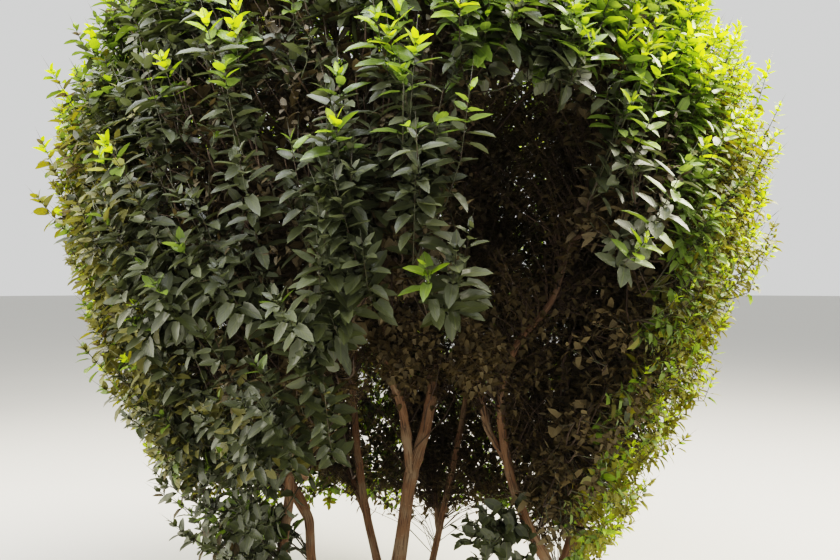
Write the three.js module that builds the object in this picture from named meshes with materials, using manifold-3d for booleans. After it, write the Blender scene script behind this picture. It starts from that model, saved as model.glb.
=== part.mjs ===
// A clipped golden privet: a rounded garden shrub, 1.5 m tall, with a hollow leafy crown on bare stems.
// Millimetres, +Z up. The origin is on the ground, at the middle of the flat foot of the main stem.
// The shrub's front faces -Y and its right-hand side faces +X. Azimuths are degrees from the front, and
// positive ones turn towards the right.
import * as THREE from "three";
import { mergeVertices } from "three/addons/utils/BufferGeometryUtils.js";
import Module from "manifold-3d";

// The clipped outline: a dome over a rounded, upside-down cone
const CROWN_RADIUS = 650;
const WIDEST_HEIGHT = 880;
const DOME_RISE = 612;
const CONE_SLOPE = 0.47;
const CONE_ROUNDING = 165;

// The crown's bottom edge is lowest at the back and lifts to its highest at one azimuth in the front
const CROWN_BOTTOM = 190;
const SKIRT_LIFT = 220;
const SKIRT_AZIMUTH = -35;

// The crown's middle line leans a little to the left below the lean's start
const AXIS_X = 55;
const AXIS_Y = 20;
const LEAN_START = 800;
const LEAN_SLOPE = 0.04;

// The foliage is a shell. A level of 1 is the outline and 0 is the crown's middle line
const SHELL_MIDDLE = 0.76;
const CORE_INNER = 0.64;
const CORE_OUTER = 0.89;
const CORE_REACH = 280;
const CORE_LEAST_REACH = 15;
const CORE_STEP = 5;
const CORE_RISE = 5;
const CORE_MARGIN = 8;
const MASS_GAP = 3;

// Bare places in the front of the shell, where the stems show
const WINDOWS = [
  { from: -8, to: 42, bottom: 0, top: 640 },
  { from: 10, to: 26, bottom: 600, top: 905 },
  { from: 22, to: 42, bottom: 600, top: 715 },
];

// Rings of foliage masses from the bottom up, each with its height and its masses' azimuths
const RINGS = [
  {
    ring: "lower",
    height: 450,
    azimuths: { front_left: -34, left: -85, back_left: -138, back: 173, back_right: 122, right: 71 },
  },
  {
    ring: "middle",
    height: 840,
    azimuths: {
      front: -7, front_right: 49, right: 99, back_right: 149, back_left: -160, left: -109, front_left: -58,
    },
  },
  {
    ring: "upper",
    height: 1190,
    azimuths: { front: 14, right: 86, back_right: 158, back_left: -130, left: -58 },
  },
];
const TOP_HEIGHT = 1350;

// Limbs
const STEM_SIDES = 9;
const STEM_STEPS = 10;
const BOUGH_SIDES = 6;
const BOUGH_STEPS = 6;
const RING_BIAS = 1.4;
const TIP_RADIUS = 4.5;
const TAPER_POWER = 0.8;
const FLARE_SHARE = 0.6;
const FLARE_HEIGHT = 32;
const FOOT_RISE = 35;
const CLEARANCE = 0.3;
const BOUGH_ARCH = 0.12;
const MASS_STEM_LENGTH = 22;
const APPROACH_LENGTH = 45;
const APPROACH_DROP = 260;
// The way that a limb's first ring is turned. It lies along none of the limbs
const FIRST_NORMAL = [0.3, 1, 0.2];

// Stems that rise from the ground, with the points that they pass and the mass at their tip
const STEMS = [
  {
    name: "stem_main", foot: [0, 0], radius: 15.5, mass: "foliage_top",
    by: [[30, -10, 185], [53, -18, 340], [80, -16, 430], [93, -10, 520], [62, 10, 780]],
  },
  {
    name: "stem_left_front", foot: [-140, -70], radius: 12, mass: "foliage_middle_front_left",
    by: [[-178, -90, 190], [-167, -80, 334], [-190, -110, 520]],
  },
  {
    name: "stem_left", foot: [-98, -8], radius: 10.5, mass: "foliage_middle_left",
    by: [[-133, -25, 175], [-141, -30, 265], [-185, -5, 345], [-225, 50, 520]],
  },
  {
    name: "stem_centre_left", foot: [12, 56], radius: 9.5, mass: "foliage_middle_back_left",
    by: [[-18, 42, 172], [-40, 60, 262], [-70, 150, 480]],
  },
  {
    name: "stem_back", foot: [75, 110], radius: 7.5, mass: "foliage_upper_back_right",
    by: [[112, 172, 190], [151, 180, 370], [169, 180, 476], [205, 195, 760]],
  },
  {
    name: "stem_right", foot: [250, -35], radius: 19, mass: "foliage_middle_right",
    by: [[325, -42, 150], [358, -38, 240], [385, 10, 430]],
  },
];

// Boughs, each with the limb that it grows from, how far up that limb, and the mass at its tip
const BOUGHS = [
  {
    name: "bough_front_right", from: "stem_right", at: 0.2, radius: 11, mass: "foliage_middle_front_right",
    by: [[266, -75, 258], [228, -82, 372], [215, -100, 498], [236, -140, 590], [292, -190, 673]],
  },
  {
    name: "bough_upper_front", from: "bough_front_right", at: 0.34, radius: 6.5, mass: "foliage_upper_front",
    by: [[190, -55, 444], [178, -60, 620], [172, -110, 860]],
  },
  {
    name: "bough_front", from: "stem_main", at: 0.27, radius: 10, mass: "foliage_middle_front",
    by: [[37, -45, 463], [16, -95, 540]],
  },
  { name: "bough_upper_left", from: "stem_main", at: 0.5, radius: 7, mass: "foliage_upper_left" },
  { name: "bough_upper_right", from: "stem_right", at: 0.66, radius: 8, mass: "foliage_upper_right" },
  {
    name: "bough_lower_front_left", from: "stem_left_front", at: 0.36, radius: 6,
    mass: "foliage_lower_front_left",
  },
  { name: "bough_lower_left", from: "stem_left", at: 0.3, radius: 6, mass: "foliage_lower_left" },
  {
    name: "bough_lower_back_left", from: "stem_centre_left", at: 0.27, radius: 6,
    mass: "foliage_lower_back_left",
  },
  {
    name: "bough_upper_back_left", from: "stem_centre_left", at: 0.5, radius: 6,
    mass: "foliage_upper_back_left",
  },
  { name: "bough_lower_back", from: "stem_back", at: 0.16, radius: 5.5, mass: "foliage_lower_back" },
  {
    name: "bough_middle_back_right", from: "stem_back", at: 0.36, radius: 5.5,
    mass: "foliage_middle_back_right",
  },
  { name: "bough_lower_right", from: "stem_right", at: 0.36, radius: 7, mass: "foliage_lower_right" },
  {
    name: "bough_lower_back_right", from: "stem_right", at: 0.42, radius: 7,
    mass: "foliage_lower_back_right",
  },
];

// The low woody stool that joins the stems' feet
const STOOL_HUB = [48, 30];
const STOOL_RADIUS = 56;
const STOOL_FLATNESS = 0.7;
const STOOL_ARM_RADIUS = 33;
const STOOL_ARM_END_RADIUS = 23;
const STOOL_SUNK = 10;
const STOOL_SIDES = 7;
const STOOL_STEPS = 3;

// Shoots and leaves. Each leaf stands for several of the plant's own
const SEED = 7;
const SHOOTS = 152;
const SHOOT_STEPS = 2;
const SHOOT_RADIUS = 4.2;
const SHOOT_OUTWARD = 0.75;
const SHOOT_UPWARD = 0.6;
const SHOOT_JITTER = 0.5;
const SHOOT_LEVEL = 0.945;
const STRAY_SHARE = 0.1;
const STRAY_LEVEL = 0.985;
// The share of the shoots under the crown's bottom edge that are kept, as sparse low sprays
const LOW_SHARE = 0.35;
const OUTLINE_BANDS = 400;
const LEAF_LEVEL = 1.03;
const STRAY_LEAF_LEVEL = 1.06;
const LEAF_LENGTH = 92;
const LEAF_WIDTH = 44;
const LEAF_THICKNESS = 4;
const LEAF_WIDEST = 0.48;
const LEAF_FOLD = 0.1;
const LEAF_SPREAD = 58;
const LEAF_ROOT = 1.2;
const LEAF_PAIRS = 2;
const LEAF_SPACING = 42;
const GOLDEN_ANGLE = 137.508;

const BARK = new THREE.MeshStandardMaterial({ color: "#7d5f4b", roughness: 0.85, metalness: 0 });
const GREEN_LEAF = new THREE.MeshStandardMaterial({ color: "#5f7340", roughness: 0.5, metalness: 0 });
const GOLDEN_LEAF = new THREE.MeshStandardMaterial({ color: "#a9bf3a", roughness: 0.5, metalness: 0 });
const GOLDEN_MASSES = /top|upper|middle_right|middle_front_right/;

const wasm = await Module();
wasm.setup();

// Numbers from 0 to 1, the same ones on each run
function seededRandom(seed) {
  let state = seed;
  return () => {
    state = (Math.imul(state, 1664525) + 1013904223) >>> 0;
    return state / 4294967296;
  };
}

const random = seededRandom(SEED);

// A three.js geometry as a closed mesh with one vertex in each place
function welded(geometry) {
  geometry.deleteAttribute("normal");
  geometry.deleteAttribute("uv");
  return mergeVertices(geometry, 1e-3);
}

// Moves each vertex of a welded geometry to where a function puts it, and makes the result a solid
function shaped(geometry, place) {
  const position = geometry.attributes.position;
  for (let i = 0; i < position.count; i++) {
    const p = place(new THREE.Vector3().fromBufferAttribute(position, i));
    position.setXYZ(i, p.x, p.y, p.z);
  }
  return new wasm.Manifold(
    new wasm.Mesh({
      numProp: 3,
      vertProperties: position.array,
      triVerts: new Uint32Array(geometry.index.array),
    }),
  );
}

function joined(solids) {
  return solids.reduce((whole, solid) => whole.add(solid));
}

function largestPiece(solid) {
  return solid.decompose().reduce((a, b) => (a.volume() > b.volume() ? a : b));
}

function touches(a, b) {
  return !a.intersect(b).isEmpty();
}

// The crown's outline

function axisAt(z) {
  return new THREE.Vector3(AXIS_X - LEAN_SLOPE * Math.max(0, LEAN_START - z), AXIS_Y, z);
}

function coneRadius(z) {
  return CROWN_RADIUS - CONE_SLOPE * (Math.hypot(WIDEST_HEIGHT - z, CONE_ROUNDING) - CONE_ROUNDING);
}

// 1 on the outline, 0 on the middle line
function levelOf(p) {
  const out = p.distanceTo(axisAt(p.z));
  if (p.z < WIDEST_HEIGHT) return out / coneRadius(p.z);
  return Math.hypot(out / CROWN_RADIUS, (p.z - WIDEST_HEIGHT) / DOME_RISE);
}

// How far the crown reaches out from its middle line at a height, on a level
function reachAt(z, level) {
  if (z < WIDEST_HEIGHT) return level * coneRadius(z);
  const rise = (z - WIDEST_HEIGHT) / DOME_RISE;
  return CROWN_RADIUS * Math.sqrt(Math.max(0, level ** 2 - rise ** 2));
}

function outwardAt(azimuth) {
  const angle = THREE.MathUtils.degToRad(azimuth);
  return new THREE.Vector3(Math.sin(angle), -Math.cos(angle), 0);
}

function crownPoint(z, azimuth, level) {
  return axisAt(z).addScaledVector(outwardAt(azimuth), reachAt(z, level));
}

function azimuthOf(p) {
  const out = p.clone().sub(axisAt(p.z));
  return THREE.MathUtils.radToDeg(Math.atan2(out.x, -out.y));
}

// The height of the crown's bottom edge
function bottomAt(azimuth) {
  const facing = (1 + Math.cos(THREE.MathUtils.degToRad(azimuth - SKIRT_AZIMUTH))) / 2;
  return CROWN_BOTTOM + SKIRT_LIFT * facing ** 2;
}

function inWindow(p) {
  const azimuth = azimuthOf(p);
  return WINDOWS.some((w) => azimuth > w.from && azimuth < w.to && p.z > w.bottom && p.z < w.top);
}

// The masses' own spaces

const CENTRES = new Map([["foliage_top", axisAt(TOP_HEIGHT)]]);
for (const { ring, height, azimuths } of RINGS)
  for (const [place, azimuth] of Object.entries(azimuths))
    CENTRES.set(`foliage_${ring}_${place}`, crownPoint(height, azimuth, SHELL_MIDDLE));

function nearestMass(p) {
  return [...CENTRES].reduce((a, b) => (p.distanceTo(a[1]) < p.distanceTo(b[1]) ? a : b))[0];
}

// How far a point lies inside a mass's space, which ends half-way to each other mass's centre
function roomIn(mass, p) {
  const own = CENTRES.get(mass);
  let room = Infinity;
  for (const centre of CENTRES.values()) {
    if (centre === own) continue;
    const beyond = p.distanceToSquared(centre) - p.distanceToSquared(own);
    room = Math.min(room, beyond / (2 * own.distanceTo(centre)));
  }
  return room;
}

function staysIn(mass, solid, level) {
  const { vertProperties } = solid.getMesh();
  const p = new THREE.Vector3();
  for (let i = 0; i < vertProperties.length; i += 3) {
    p.fromArray(vertProperties, i);
    if (levelOf(p) > level || roomIn(mass, p) < MASS_GAP) return false;
  }
  return true;
}

// How far a mass's core reaches from its centre in a direction
function coreReach(mass, direction) {
  const p = CENTRES.get(mass).clone();
  let reach = 0;
  while (reach < CORE_REACH) {
    p.addScaledVector(direction, CORE_STEP);
    const level = levelOf(p);
    const aboveEdge = p.z > bottomAt(azimuthOf(p)) + CORE_RISE;
    const inShell = level > CORE_INNER && level < CORE_OUTER && aboveEdge;
    if (!inShell || inWindow(p) || roomIn(mass, p) < CORE_MARGIN) break;
    reach += CORE_STEP;
  }
  return Math.max(reach, CORE_LEAST_REACH);
}

// Limbs

// Rings round a curve: each has its centre and two directions square to the curve, which turn as little as
// they can from one ring to the next
function ringsAlong(curve, steps) {
  const rings = [];
  const normal = new THREE.Vector3(...FIRST_NORMAL);
  for (let i = 0; i <= steps; i++) {
    const t = (i / steps) ** RING_BIAS;
    const tangent = curve.getTangentAt(t);
    normal.projectOnPlane(tangent).normalize();
    rings.push({ t, centre: curve.getPointAt(t), normal: normal.clone(), side: tangent.cross(normal) });
  }
  return rings;
}

// A limb is a capped cylinder whose rings lie along a curve, each with the radius for its place on it
function limb(curve, radiusAt, sides, steps, extra = 0) {
  const rings = ringsAlong(curve, steps);
  const blank = welded(new THREE.CylinderGeometry(1, 1, 1, sides, steps));
  return shaped(blank, (v) => {
    const { t, centre, normal, side } = rings[Math.round((v.y + 0.5) * steps)];
    const radius = radiusAt(t) + extra;
    return centre.clone().addScaledVector(normal, v.z * radius).addScaledVector(side, v.x * radius);
  });
}

// Where a limb's tip meets a mass: just short of its core, on the way out from low on the middle line
function entryOf(mass) {
  const centre = CENTRES.get(mass);
  const outward = centre.clone().sub(axisAt(centre.z - APPROACH_DROP)).normalize();
  const depth = coreReach(mass, outward.clone().negate()) + MASS_STEM_LENGTH;
  return { outward, tip: centre.clone().addScaledVector(outward, -depth) };
}

function curveTo(mass, points) {
  const { outward, tip } = entryOf(mass);
  const lead = tip.clone().addScaledVector(outward, -APPROACH_LENGTH);
  return new THREE.CatmullRomCurve3([...points, lead, tip], false, "centripetal");
}

const limbs = new Map();

function addLimb(name, curve, radiusAt, sides, steps) {
  const made = limb(curve, radiusAt, sides, steps);
  const others = [...limbs.values()].map((other) => other.grown);
  limbs.set(name, {
    curve,
    solid: others.length ? largestPiece(made.subtract(joined(others))) : made,
    grown: limb(curve, radiusAt, sides, steps, CLEARANCE),
  });
}

// A stem tapers from its flared foot, which is cut flat at the ground
for (const { name, foot, radius, by, mass } of STEMS) {
  const [x, y] = foot;
  const points = [[x, y, 0], [x, y, FOOT_RISE], ...by].map((p) => new THREE.Vector3(...p));
  const curve = curveTo(mass, points);
  const length = curve.getLength();
  const radiusAt = (t) => {
    const flare = 1 + FLARE_SHARE * Math.exp((-t * length) / FLARE_HEIGHT);
    return flare * THREE.MathUtils.lerp(radius, TIP_RADIUS, t ** TAPER_POWER);
  };
  addLimb(name, curve, radiusAt, STEM_SIDES, STEM_STEPS);
}

// A bough starts inside its parent limb, which then cuts it clear
for (const { name, from, at, radius, by, mass } of BOUGHS) {
  const start = limbs.get(from).curve.getPointAt(at);
  const { tip } = entryOf(mass);
  const arch = start.clone().lerp(tip, 0.5);
  arch.z += BOUGH_ARCH * start.distanceTo(tip);
  const points = by ? by.map((p) => new THREE.Vector3(...p)) : [arch];
  const radiusAt = (t) => THREE.MathUtils.lerp(radius, TIP_RADIUS, t ** TAPER_POWER);
  addLimb(name, curveTo(mass, [start, ...points]), radiusAt, BOUGH_SIDES, BOUGH_STEPS);
}

const grownLimbs = joined([...limbs.values()].map((made) => made.grown));

// The stool: flattened arms that run from a hub to each stem's foot, with nothing below the ground
function makeStool() {
  const hub = new THREE.Vector3(...STOOL_HUB, -STOOL_SUNK);
  const boss = shaped(welded(new THREE.IcosahedronGeometry(STOOL_RADIUS, 1)), (v) => {
    return new THREE.Vector3(v.x, v.y, v.z * STOOL_FLATNESS).add(hub);
  });
  const radiusAt = (t) => THREE.MathUtils.lerp(STOOL_ARM_RADIUS, STOOL_ARM_END_RADIUS, t);
  const arms = STEMS.map(({ foot }) => {
    const end = new THREE.Vector3(...foot, -STOOL_SUNK);
    return limb(new THREE.LineCurve3(hub, end), radiusAt, STOOL_SIDES, STOOL_STEPS);
  });
  const size = 2 * CROWN_RADIUS;
  const soil = shaped(welded(new THREE.BoxGeometry(size, size, size)), (v) => v.setZ(v.z - size / 2));
  return largestPiece(joined([boss, ...arms]).subtract(soil).subtract(grownLimbs));
}

// Foliage

// A leaf has a rib and two raised edges. Its root lies a little behind the point that it grows from
function makeLeaf(from, direction, shootDirection) {
  const face = shootDirection.clone().projectOnPlane(direction).normalize();
  const across = direction.clone().cross(face);
  const along = { [-1]: -LEAF_ROOT, 0: LEAF_LENGTH * LEAF_WIDEST, 1: LEAF_LENGTH };
  return shaped(welded(new THREE.OctahedronGeometry(1)), (v) => {
    return from
      .clone()
      .addScaledVector(direction, along[Math.round(v.y)])
      .addScaledVector(across, (v.x * LEAF_WIDTH) / 2)
      .addScaledVector(face, (v.z * LEAF_THICKNESS) / 2 + Math.abs(v.x) * LEAF_WIDTH * LEAF_FOLD);
  });
}

// A shoot leaves the mass's heart, turns upwards and ends in crossed pairs of leaves. A leaf that would leave
// the mass's space, touch a limb or cross a neighbouring shoot's leaf is left out
function makeShoot(mass, tip, outward, leafLevel, neighbours) {
  const jitter = new THREE.Vector3(random() - 0.5, random() - 0.5, random() - 0.5);
  const direction = outward.clone().multiplyScalar(SHOOT_OUTWARD).addScaledVector(jitter, SHOOT_JITTER);
  direction.z += SHOOT_UPWARD;
  direction.normalize();
  const bend = tip.clone().addScaledVector(direction, -LEAF_PAIRS * LEAF_SPACING);
  const curve = new THREE.CatmullRomCurve3([CENTRES.get(mass), bend, tip], false, "centripetal");
  const twig = limb(curve, () => SHOOT_RADIUS, 3, SHOOT_STEPS);
  if (!staysIn(mass, twig, leafLevel) || touches(twig, grownLimbs)) return [];
  const spread = THREE.MathUtils.degToRad(LEAF_SPREAD);
  const side = new THREE.Vector3(random() - 0.5, random() - 0.5, 0).projectOnPlane(direction).normalize();
  const leaves = [];
  for (let pair = 0; pair < LEAF_PAIRS; pair++) {
    const node = tip.clone().addScaledVector(direction, -pair * LEAF_SPACING - SHOOT_RADIUS);
    for (const turn of [0, Math.PI]) {
      const leafSide = side.clone().applyAxisAngle(direction, turn + (pair * Math.PI) / 2);
      const leafDirection = direction.clone().multiplyScalar(Math.cos(spread));
      leafDirection.addScaledVector(leafSide, Math.sin(spread));
      leaves.push(makeLeaf(node, leafDirection, direction));
    }
  }
  const obstacles = [grownLimbs, ...neighbours];
  const isClear = (leaf) => !obstacles.some((other) => touches(leaf, other));
  return [twig, ...leaves.filter((leaf) => staysIn(mass, leaf, leafLevel) && isClear(leaf))];
}

// Points spread evenly over the outline, by area and by the golden angle, each with its way outwards
function spreadOverCrown(count) {
  const top = WIDEST_HEIGHT + DOME_RISE;
  const heights = Array.from({ length: OUTLINE_BANDS + 1 }, (_, i) =>
    THREE.MathUtils.lerp(CROWN_BOTTOM, top, Math.sin(((i / OUTLINE_BANDS) * Math.PI) / 2)),
  );
  const areas = [0];
  for (let i = 1; i <= OUTLINE_BANDS; i++) {
    const low = reachAt(heights[i - 1], 1);
    const high = reachAt(heights[i], 1);
    const slant = Math.hypot(heights[i] - heights[i - 1], high - low);
    areas.push(areas[i - 1] + (low + high) * slant);
  }
  return Array.from({ length: count }, (_, k) => {
    const wanted = ((k + 0.5) / count) * areas[OUTLINE_BANDS];
    const band = areas.findIndex((area) => area >= wanted);
    const z = heights[band];
    const drop = (heights[band] - heights[band - 1]) / 2;
    const flatness = (reachAt(z - drop, 1) - reachAt(z, 1)) / drop;
    const azimuth = k * GOLDEN_ANGLE;
    const outward = outwardAt(azimuth).setZ(flatness).normalize();
    return { z, azimuth, outward };
  });
}

// Whether a shoot's tip lies in a bare place, or is one of those left out under the crown's bottom edge
function leftOut(tip, azimuth) {
  return inWindow(tip) || (tip.z < bottomAt(azimuth) && random() > LOW_SHARE);
}

function makeCore(mass) {
  const centre = CENTRES.get(mass);
  return shaped(welded(new THREE.IcosahedronGeometry(1, 1)), (v) => {
    const direction = v.normalize();
    return centre.clone().addScaledVector(direction, coreReach(mass, direction));
  });
}

function makeMassStem(mass) {
  const { outward, tip } = entryOf(mass);
  const start = tip.clone().addScaledVector(outward, CLEARANCE);
  return limb(new THREE.LineCurve3(start, CENTRES.get(mass)), () => TIP_RADIUS, BOUGH_SIDES, 1);
}

function makeFoliage() {
  const pieces = new Map([...CENTRES.keys()].map((mass) => [mass, []]));
  for (const { z, azimuth, outward } of spreadOverCrown(SHOOTS)) {
    const stray = random() < STRAY_SHARE;
    const inward = (1 - (stray ? STRAY_LEVEL : SHOOT_LEVEL)) * CROWN_RADIUS;
    const tip = crownPoint(z, azimuth, 1).addScaledVector(outward, -inward);
    if (leftOut(tip, azimuth)) continue;
    const mass = nearestMass(tip);
    const shoots = pieces.get(mass);
    shoots.push(...makeShoot(mass, tip, outward, stray ? STRAY_LEAF_LEVEL : LEAF_LEVEL, shoots));
  }
  return [...pieces].map(([mass, shoots]) => {
    const core = makeCore(mass).subtract(grownLimbs);
    return [mass, largestPiece(joined([core, makeMassStem(mass), ...shoots]))];
  });
}

// The plant

function toMesh(name, solid, material) {
  const mesh = solid.getMesh();
  const geometry = new THREE.BufferGeometry()
    .setAttribute("position", new THREE.BufferAttribute(new Float32Array(mesh.vertProperties), 3))
    .setIndex(new THREE.BufferAttribute(new Uint32Array(mesh.triVerts), 1));
  const made = new THREE.Mesh(geometry, material.clone());
  made.name = name;
  return made;
}

const shrub = new THREE.Group();
shrub.add(toMesh("stool", makeStool(), BARK));
for (const [name, { solid }] of limbs) shrub.add(toMesh(name, solid, BARK));
for (const [mass, solid] of makeFoliage())
  shrub.add(toMesh(mass, solid, GOLDEN_MASSES.test(mass) ? GOLDEN_LEAF : GREEN_LEAF));

export default shrub;
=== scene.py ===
"""Golden privet: a clipped, rounded garden shrub with a hollow leafy crown on several bare stems.

The crown is grown by one rule. Branchlets leave the limbs, twigs leave the branchlets, and upright shoots
with crossed pairs of leaves leave the twigs and end at the clipped outline. Short spurs fill the shell behind
the shoots, thin twigs with small old leaves fill the inside, and a few sprays leave the stems low down.
Metres, +Z up. The front of the shrub faces -Y and its right-hand side faces +X.
"""
import math

import bpy
import numpy as np
from bpy.props import FloatProperty, FloatVectorProperty, IntProperty, PointerProperty
from bpy.types import Operator, Panel, PropertyGroup
from mathutils import Matrix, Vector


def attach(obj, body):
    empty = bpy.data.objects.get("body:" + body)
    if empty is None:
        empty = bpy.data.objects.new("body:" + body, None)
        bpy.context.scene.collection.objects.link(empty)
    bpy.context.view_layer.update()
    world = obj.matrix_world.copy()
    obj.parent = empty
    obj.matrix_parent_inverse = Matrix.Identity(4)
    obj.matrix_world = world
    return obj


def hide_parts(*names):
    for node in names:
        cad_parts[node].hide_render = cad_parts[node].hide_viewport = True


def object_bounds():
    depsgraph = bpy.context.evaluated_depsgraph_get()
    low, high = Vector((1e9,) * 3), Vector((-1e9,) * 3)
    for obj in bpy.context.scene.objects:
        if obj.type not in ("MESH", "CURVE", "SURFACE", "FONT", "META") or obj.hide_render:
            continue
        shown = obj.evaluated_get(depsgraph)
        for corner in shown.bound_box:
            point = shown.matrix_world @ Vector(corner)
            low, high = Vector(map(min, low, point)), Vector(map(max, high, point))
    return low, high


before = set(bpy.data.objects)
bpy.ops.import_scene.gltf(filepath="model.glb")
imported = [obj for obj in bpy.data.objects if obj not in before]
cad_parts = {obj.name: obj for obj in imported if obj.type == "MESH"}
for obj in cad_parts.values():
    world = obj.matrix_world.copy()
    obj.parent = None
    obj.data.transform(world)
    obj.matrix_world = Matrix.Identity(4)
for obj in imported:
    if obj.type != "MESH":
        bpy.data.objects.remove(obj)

bl_info = {
    "name": "Golden privet",
    "version": (1, 0, 0),
    "blender": (4, 5, 0),
    "location": "3D View > Sidebar > Privet",
    "description": "Grows a clipped golden privet on its modelled stems and boughs",
    "category": "Add Mesh",
}

MM = 0.001
CAD_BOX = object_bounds()
UP = np.array([0.0, 0.0, 1.0])
GOLDEN_ANGLE = 137.508
# Shoots rise in loose columns this many degrees apart
COLUMN = 7.4
# Even steps in a limb's curve
LIMB_STEPS = 400
# A limb's last part, over which it runs straight in to its mass
LAST_PART = 45 * MM
# Middle of the stool, among the stems' feet, and how deep its rounded shapes are sunk in the ground
HUB = np.array([48.0, 30.0]) * MM
SUNK = 10 * MM
# Sun value of an old leaf inside the crown, far below every other leaf's, and the bound between them
DULL = -99.0
DULL_BOUND = -9.0
# The brightest leaf of a tint, as a multiple of the tint's colour
BRIGHTEST = 1.27

# Rings of foliage masses from the bottom up, each with its height in mm and its masses' azimuths
RINGS = {
    "lower": (450, {
        "front_left": -34, "left": -85, "back_left": -138, "back": 173, "back_right": 122, "right": 71,
    }),
    "middle": (840, {
        "front": -7, "front_right": 49, "right": 99, "back_right": 149, "back_left": -160, "left": -109,
        "front_left": -58,
    }),
    "upper": (1190, {"front": 14, "right": 86, "back_right": 158, "back_left": -130, "left": -58}),
}
TOP_MASS = "foliage_top"
TOP_HEIGHT = 1350 * MM
# Levels run from 0 on the crown's middle line to 1 on its outline: the masses' centres lie at the first one,
# and the limbs end between the other two
SHELL_MIDDLE = 0.76
SHELL_INSIDE, SHELL_OUTSIDE = 0.64, 0.89

# Bare places in the front of the crown, where the stems show: first and last azimuth in degrees, and bottom
# and top in mm
WINDOWS = [(-8, 42, 0, 640), (10, 26, 600, 905), (22, 42, 600, 715)]
# Height in metres from which a branch counts as over them, and the level up to which it may cross them
WINDOW_TOP = 0.9
FREE_LEVEL = 0.45
# Beside them the crown is thin and twiggy: the same four values
THIN_PLACE = (30, 52, 200, 690)

# Stems that rise from the ground: foot, radius, the mass at the tip and the points that they pass, in mm
STEMS = {
    "stem_main": (
        (0, 0), 15.5, "foliage_top",
        [(30, -10, 185), (53, -18, 340), (80, -16, 430), (93, -10, 520), (62, 10, 780)],
    ),
    "stem_left_front": (
        (-140, -70), 12, "foliage_middle_front_left",
        [(-178, -90, 190), (-167, -80, 334), (-190, -110, 520)],
    ),
    "stem_left": (
        (-98, -8), 10.5, "foliage_middle_left",
        [(-133, -25, 175), (-141, -30, 265), (-185, -5, 345), (-225, 50, 520)],
    ),
    "stem_centre_left": (
        (12, 56), 9.5, "foliage_middle_back_left",
        [(-18, 42, 172), (-40, 60, 262), (-70, 150, 480)],
    ),
    "stem_back": (
        (75, 110), 7.5, "foliage_upper_back_right",
        [(112, 172, 190), (151, 180, 370), (169, 180, 476), (205, 195, 760)],
    ),
    "stem_right": (
        (250, -35), 19, "foliage_middle_right",
        [(325, -42, 150), (358, -38, 240), (385, 10, 430)],
    ),
}

# Boughs: parent limb, share of the way up it, radius, the mass at the tip and the points that they pass
BOUGHS = {
    "bough_front_right": (
        "stem_right", 0.2, 11, "foliage_middle_front_right",
        [(266, -75, 258), (228, -82, 372), (215, -100, 498), (236, -140, 590), (292, -190, 673)],
    ),
    "bough_upper_front": (
        "bough_front_right", 0.34, 6.5, "foliage_upper_front",
        [(190, -55, 444), (178, -60, 620), (172, -110, 860)],
    ),
    "bough_front": ("stem_main", 0.27, 10, "foliage_middle_front", [(37, -45, 463), (16, -95, 540)]),
    "bough_upper_left": ("stem_main", 0.5, 7, "foliage_upper_left", None),
    "bough_upper_right": ("stem_right", 0.66, 8, "foliage_upper_right", None),
    "bough_lower_front_left": ("stem_left_front", 0.36, 6, "foliage_lower_front_left", None),
    "bough_lower_left": ("stem_left", 0.3, 6, "foliage_lower_left", None),
    "bough_lower_back_left": ("stem_centre_left", 0.27, 6, "foliage_lower_back_left", None),
    "bough_upper_back_left": ("stem_centre_left", 0.5, 6, "foliage_upper_back_left", None),
    "bough_lower_back": ("stem_back", 0.16, 5.5, "foliage_lower_back", None),
    "bough_middle_back_right": ("stem_back", 0.36, 5.5, "foliage_middle_back_right", None),
    "bough_lower_right": ("stem_right", 0.36, 7, "foliage_lower_right", None),
    "bough_lower_back_right": ("stem_right", 0.42, 7, "foliage_lower_back_right", None),
}

# Leaf tints from the shaded depths to the sunlit tips, each with the record's slot, the sun values that it
# spans, and whether it is for yellowed leaves, for plain ones or for both
TINTS = {
    "dull": ("green_leaf", DULL, DULL_BOUND, (False, True)),
    "shade": ("green_leaf", DULL_BOUND, 0.28, (False,)),
    "olive": ("green_leaf", DULL_BOUND, 0.4, (True,)),
    "green": ("green_leaf", 0.28, 0.62, (False,)),
    "amber": ("golden_leaf", 0.4, 0.98, (True,)),
    "fresh": ("golden_leaf", 0.62, 0.98, (False,)),
    "golden": ("golden_leaf", 0.98, 99.0, (False, True)),
}

# Each tint's finish: the colour of light that shows through from behind, its share, the roughness of the
# leaf's wax, and the darkest leaf as a multiple of the tint's colour
FINISHES = {
    # Old, dry leaf inside: brown-green and matt, and painted shade makes some nearly black
    "dull": ("#6a5a34", 0.25, 0.75, 0.3),
    # Old leaf in the shade: dark and greyed by its wax, and it lets little light through
    "shade": ("#5a6130", 0.18, 0.46, 0.6),
    # Old leaf that has begun to yellow: drab, with a weaker sheen
    "olive": ("#7d7832", 0.25, 0.55, 0.6),
    # Full-grown leaf: plain green with a satin sheen
    "green": ("#86a030", 0.24, 0.42, 0.6),
    # Yellowed leaf in the sun: warm, with a weaker sheen
    "amber": ("#a89c1a", 0.26, 0.52, 0.6),
    # Full-grown leaf in the sun: thin, yellow-green and satin
    "fresh": ("#a6c81e", 0.33, 0.42, 0.6),
    # Young leaf: soft and shiny, and it glows with light from behind
    "golden": ("#cfe81e", 0.45, 0.38, 0.6),
}


def linear(colour):
    """An sRGB hex colour as linear red, green, blue and alpha."""
    shares = [int(colour[i : i + 2], 16) / 255 for i in (1, 3, 5)]
    return tuple(c / 12.92 if c <= 0.04045 else ((c + 0.055) / 1.055) ** 2.4 for c in shares) + (1.0,)


def scaled(colour, factor):
    """A linear colour times a number, with its shares kept to 1 at most."""
    return tuple(min(1.0, c * factor) for c in tuple(colour)[:3]) + (1.0,)


def length(label, description, millimetres):
    """A length property whose default is given in millimetres."""
    return FloatProperty(name=label, description=description, default=millimetres * MM, unit="LENGTH")


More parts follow.
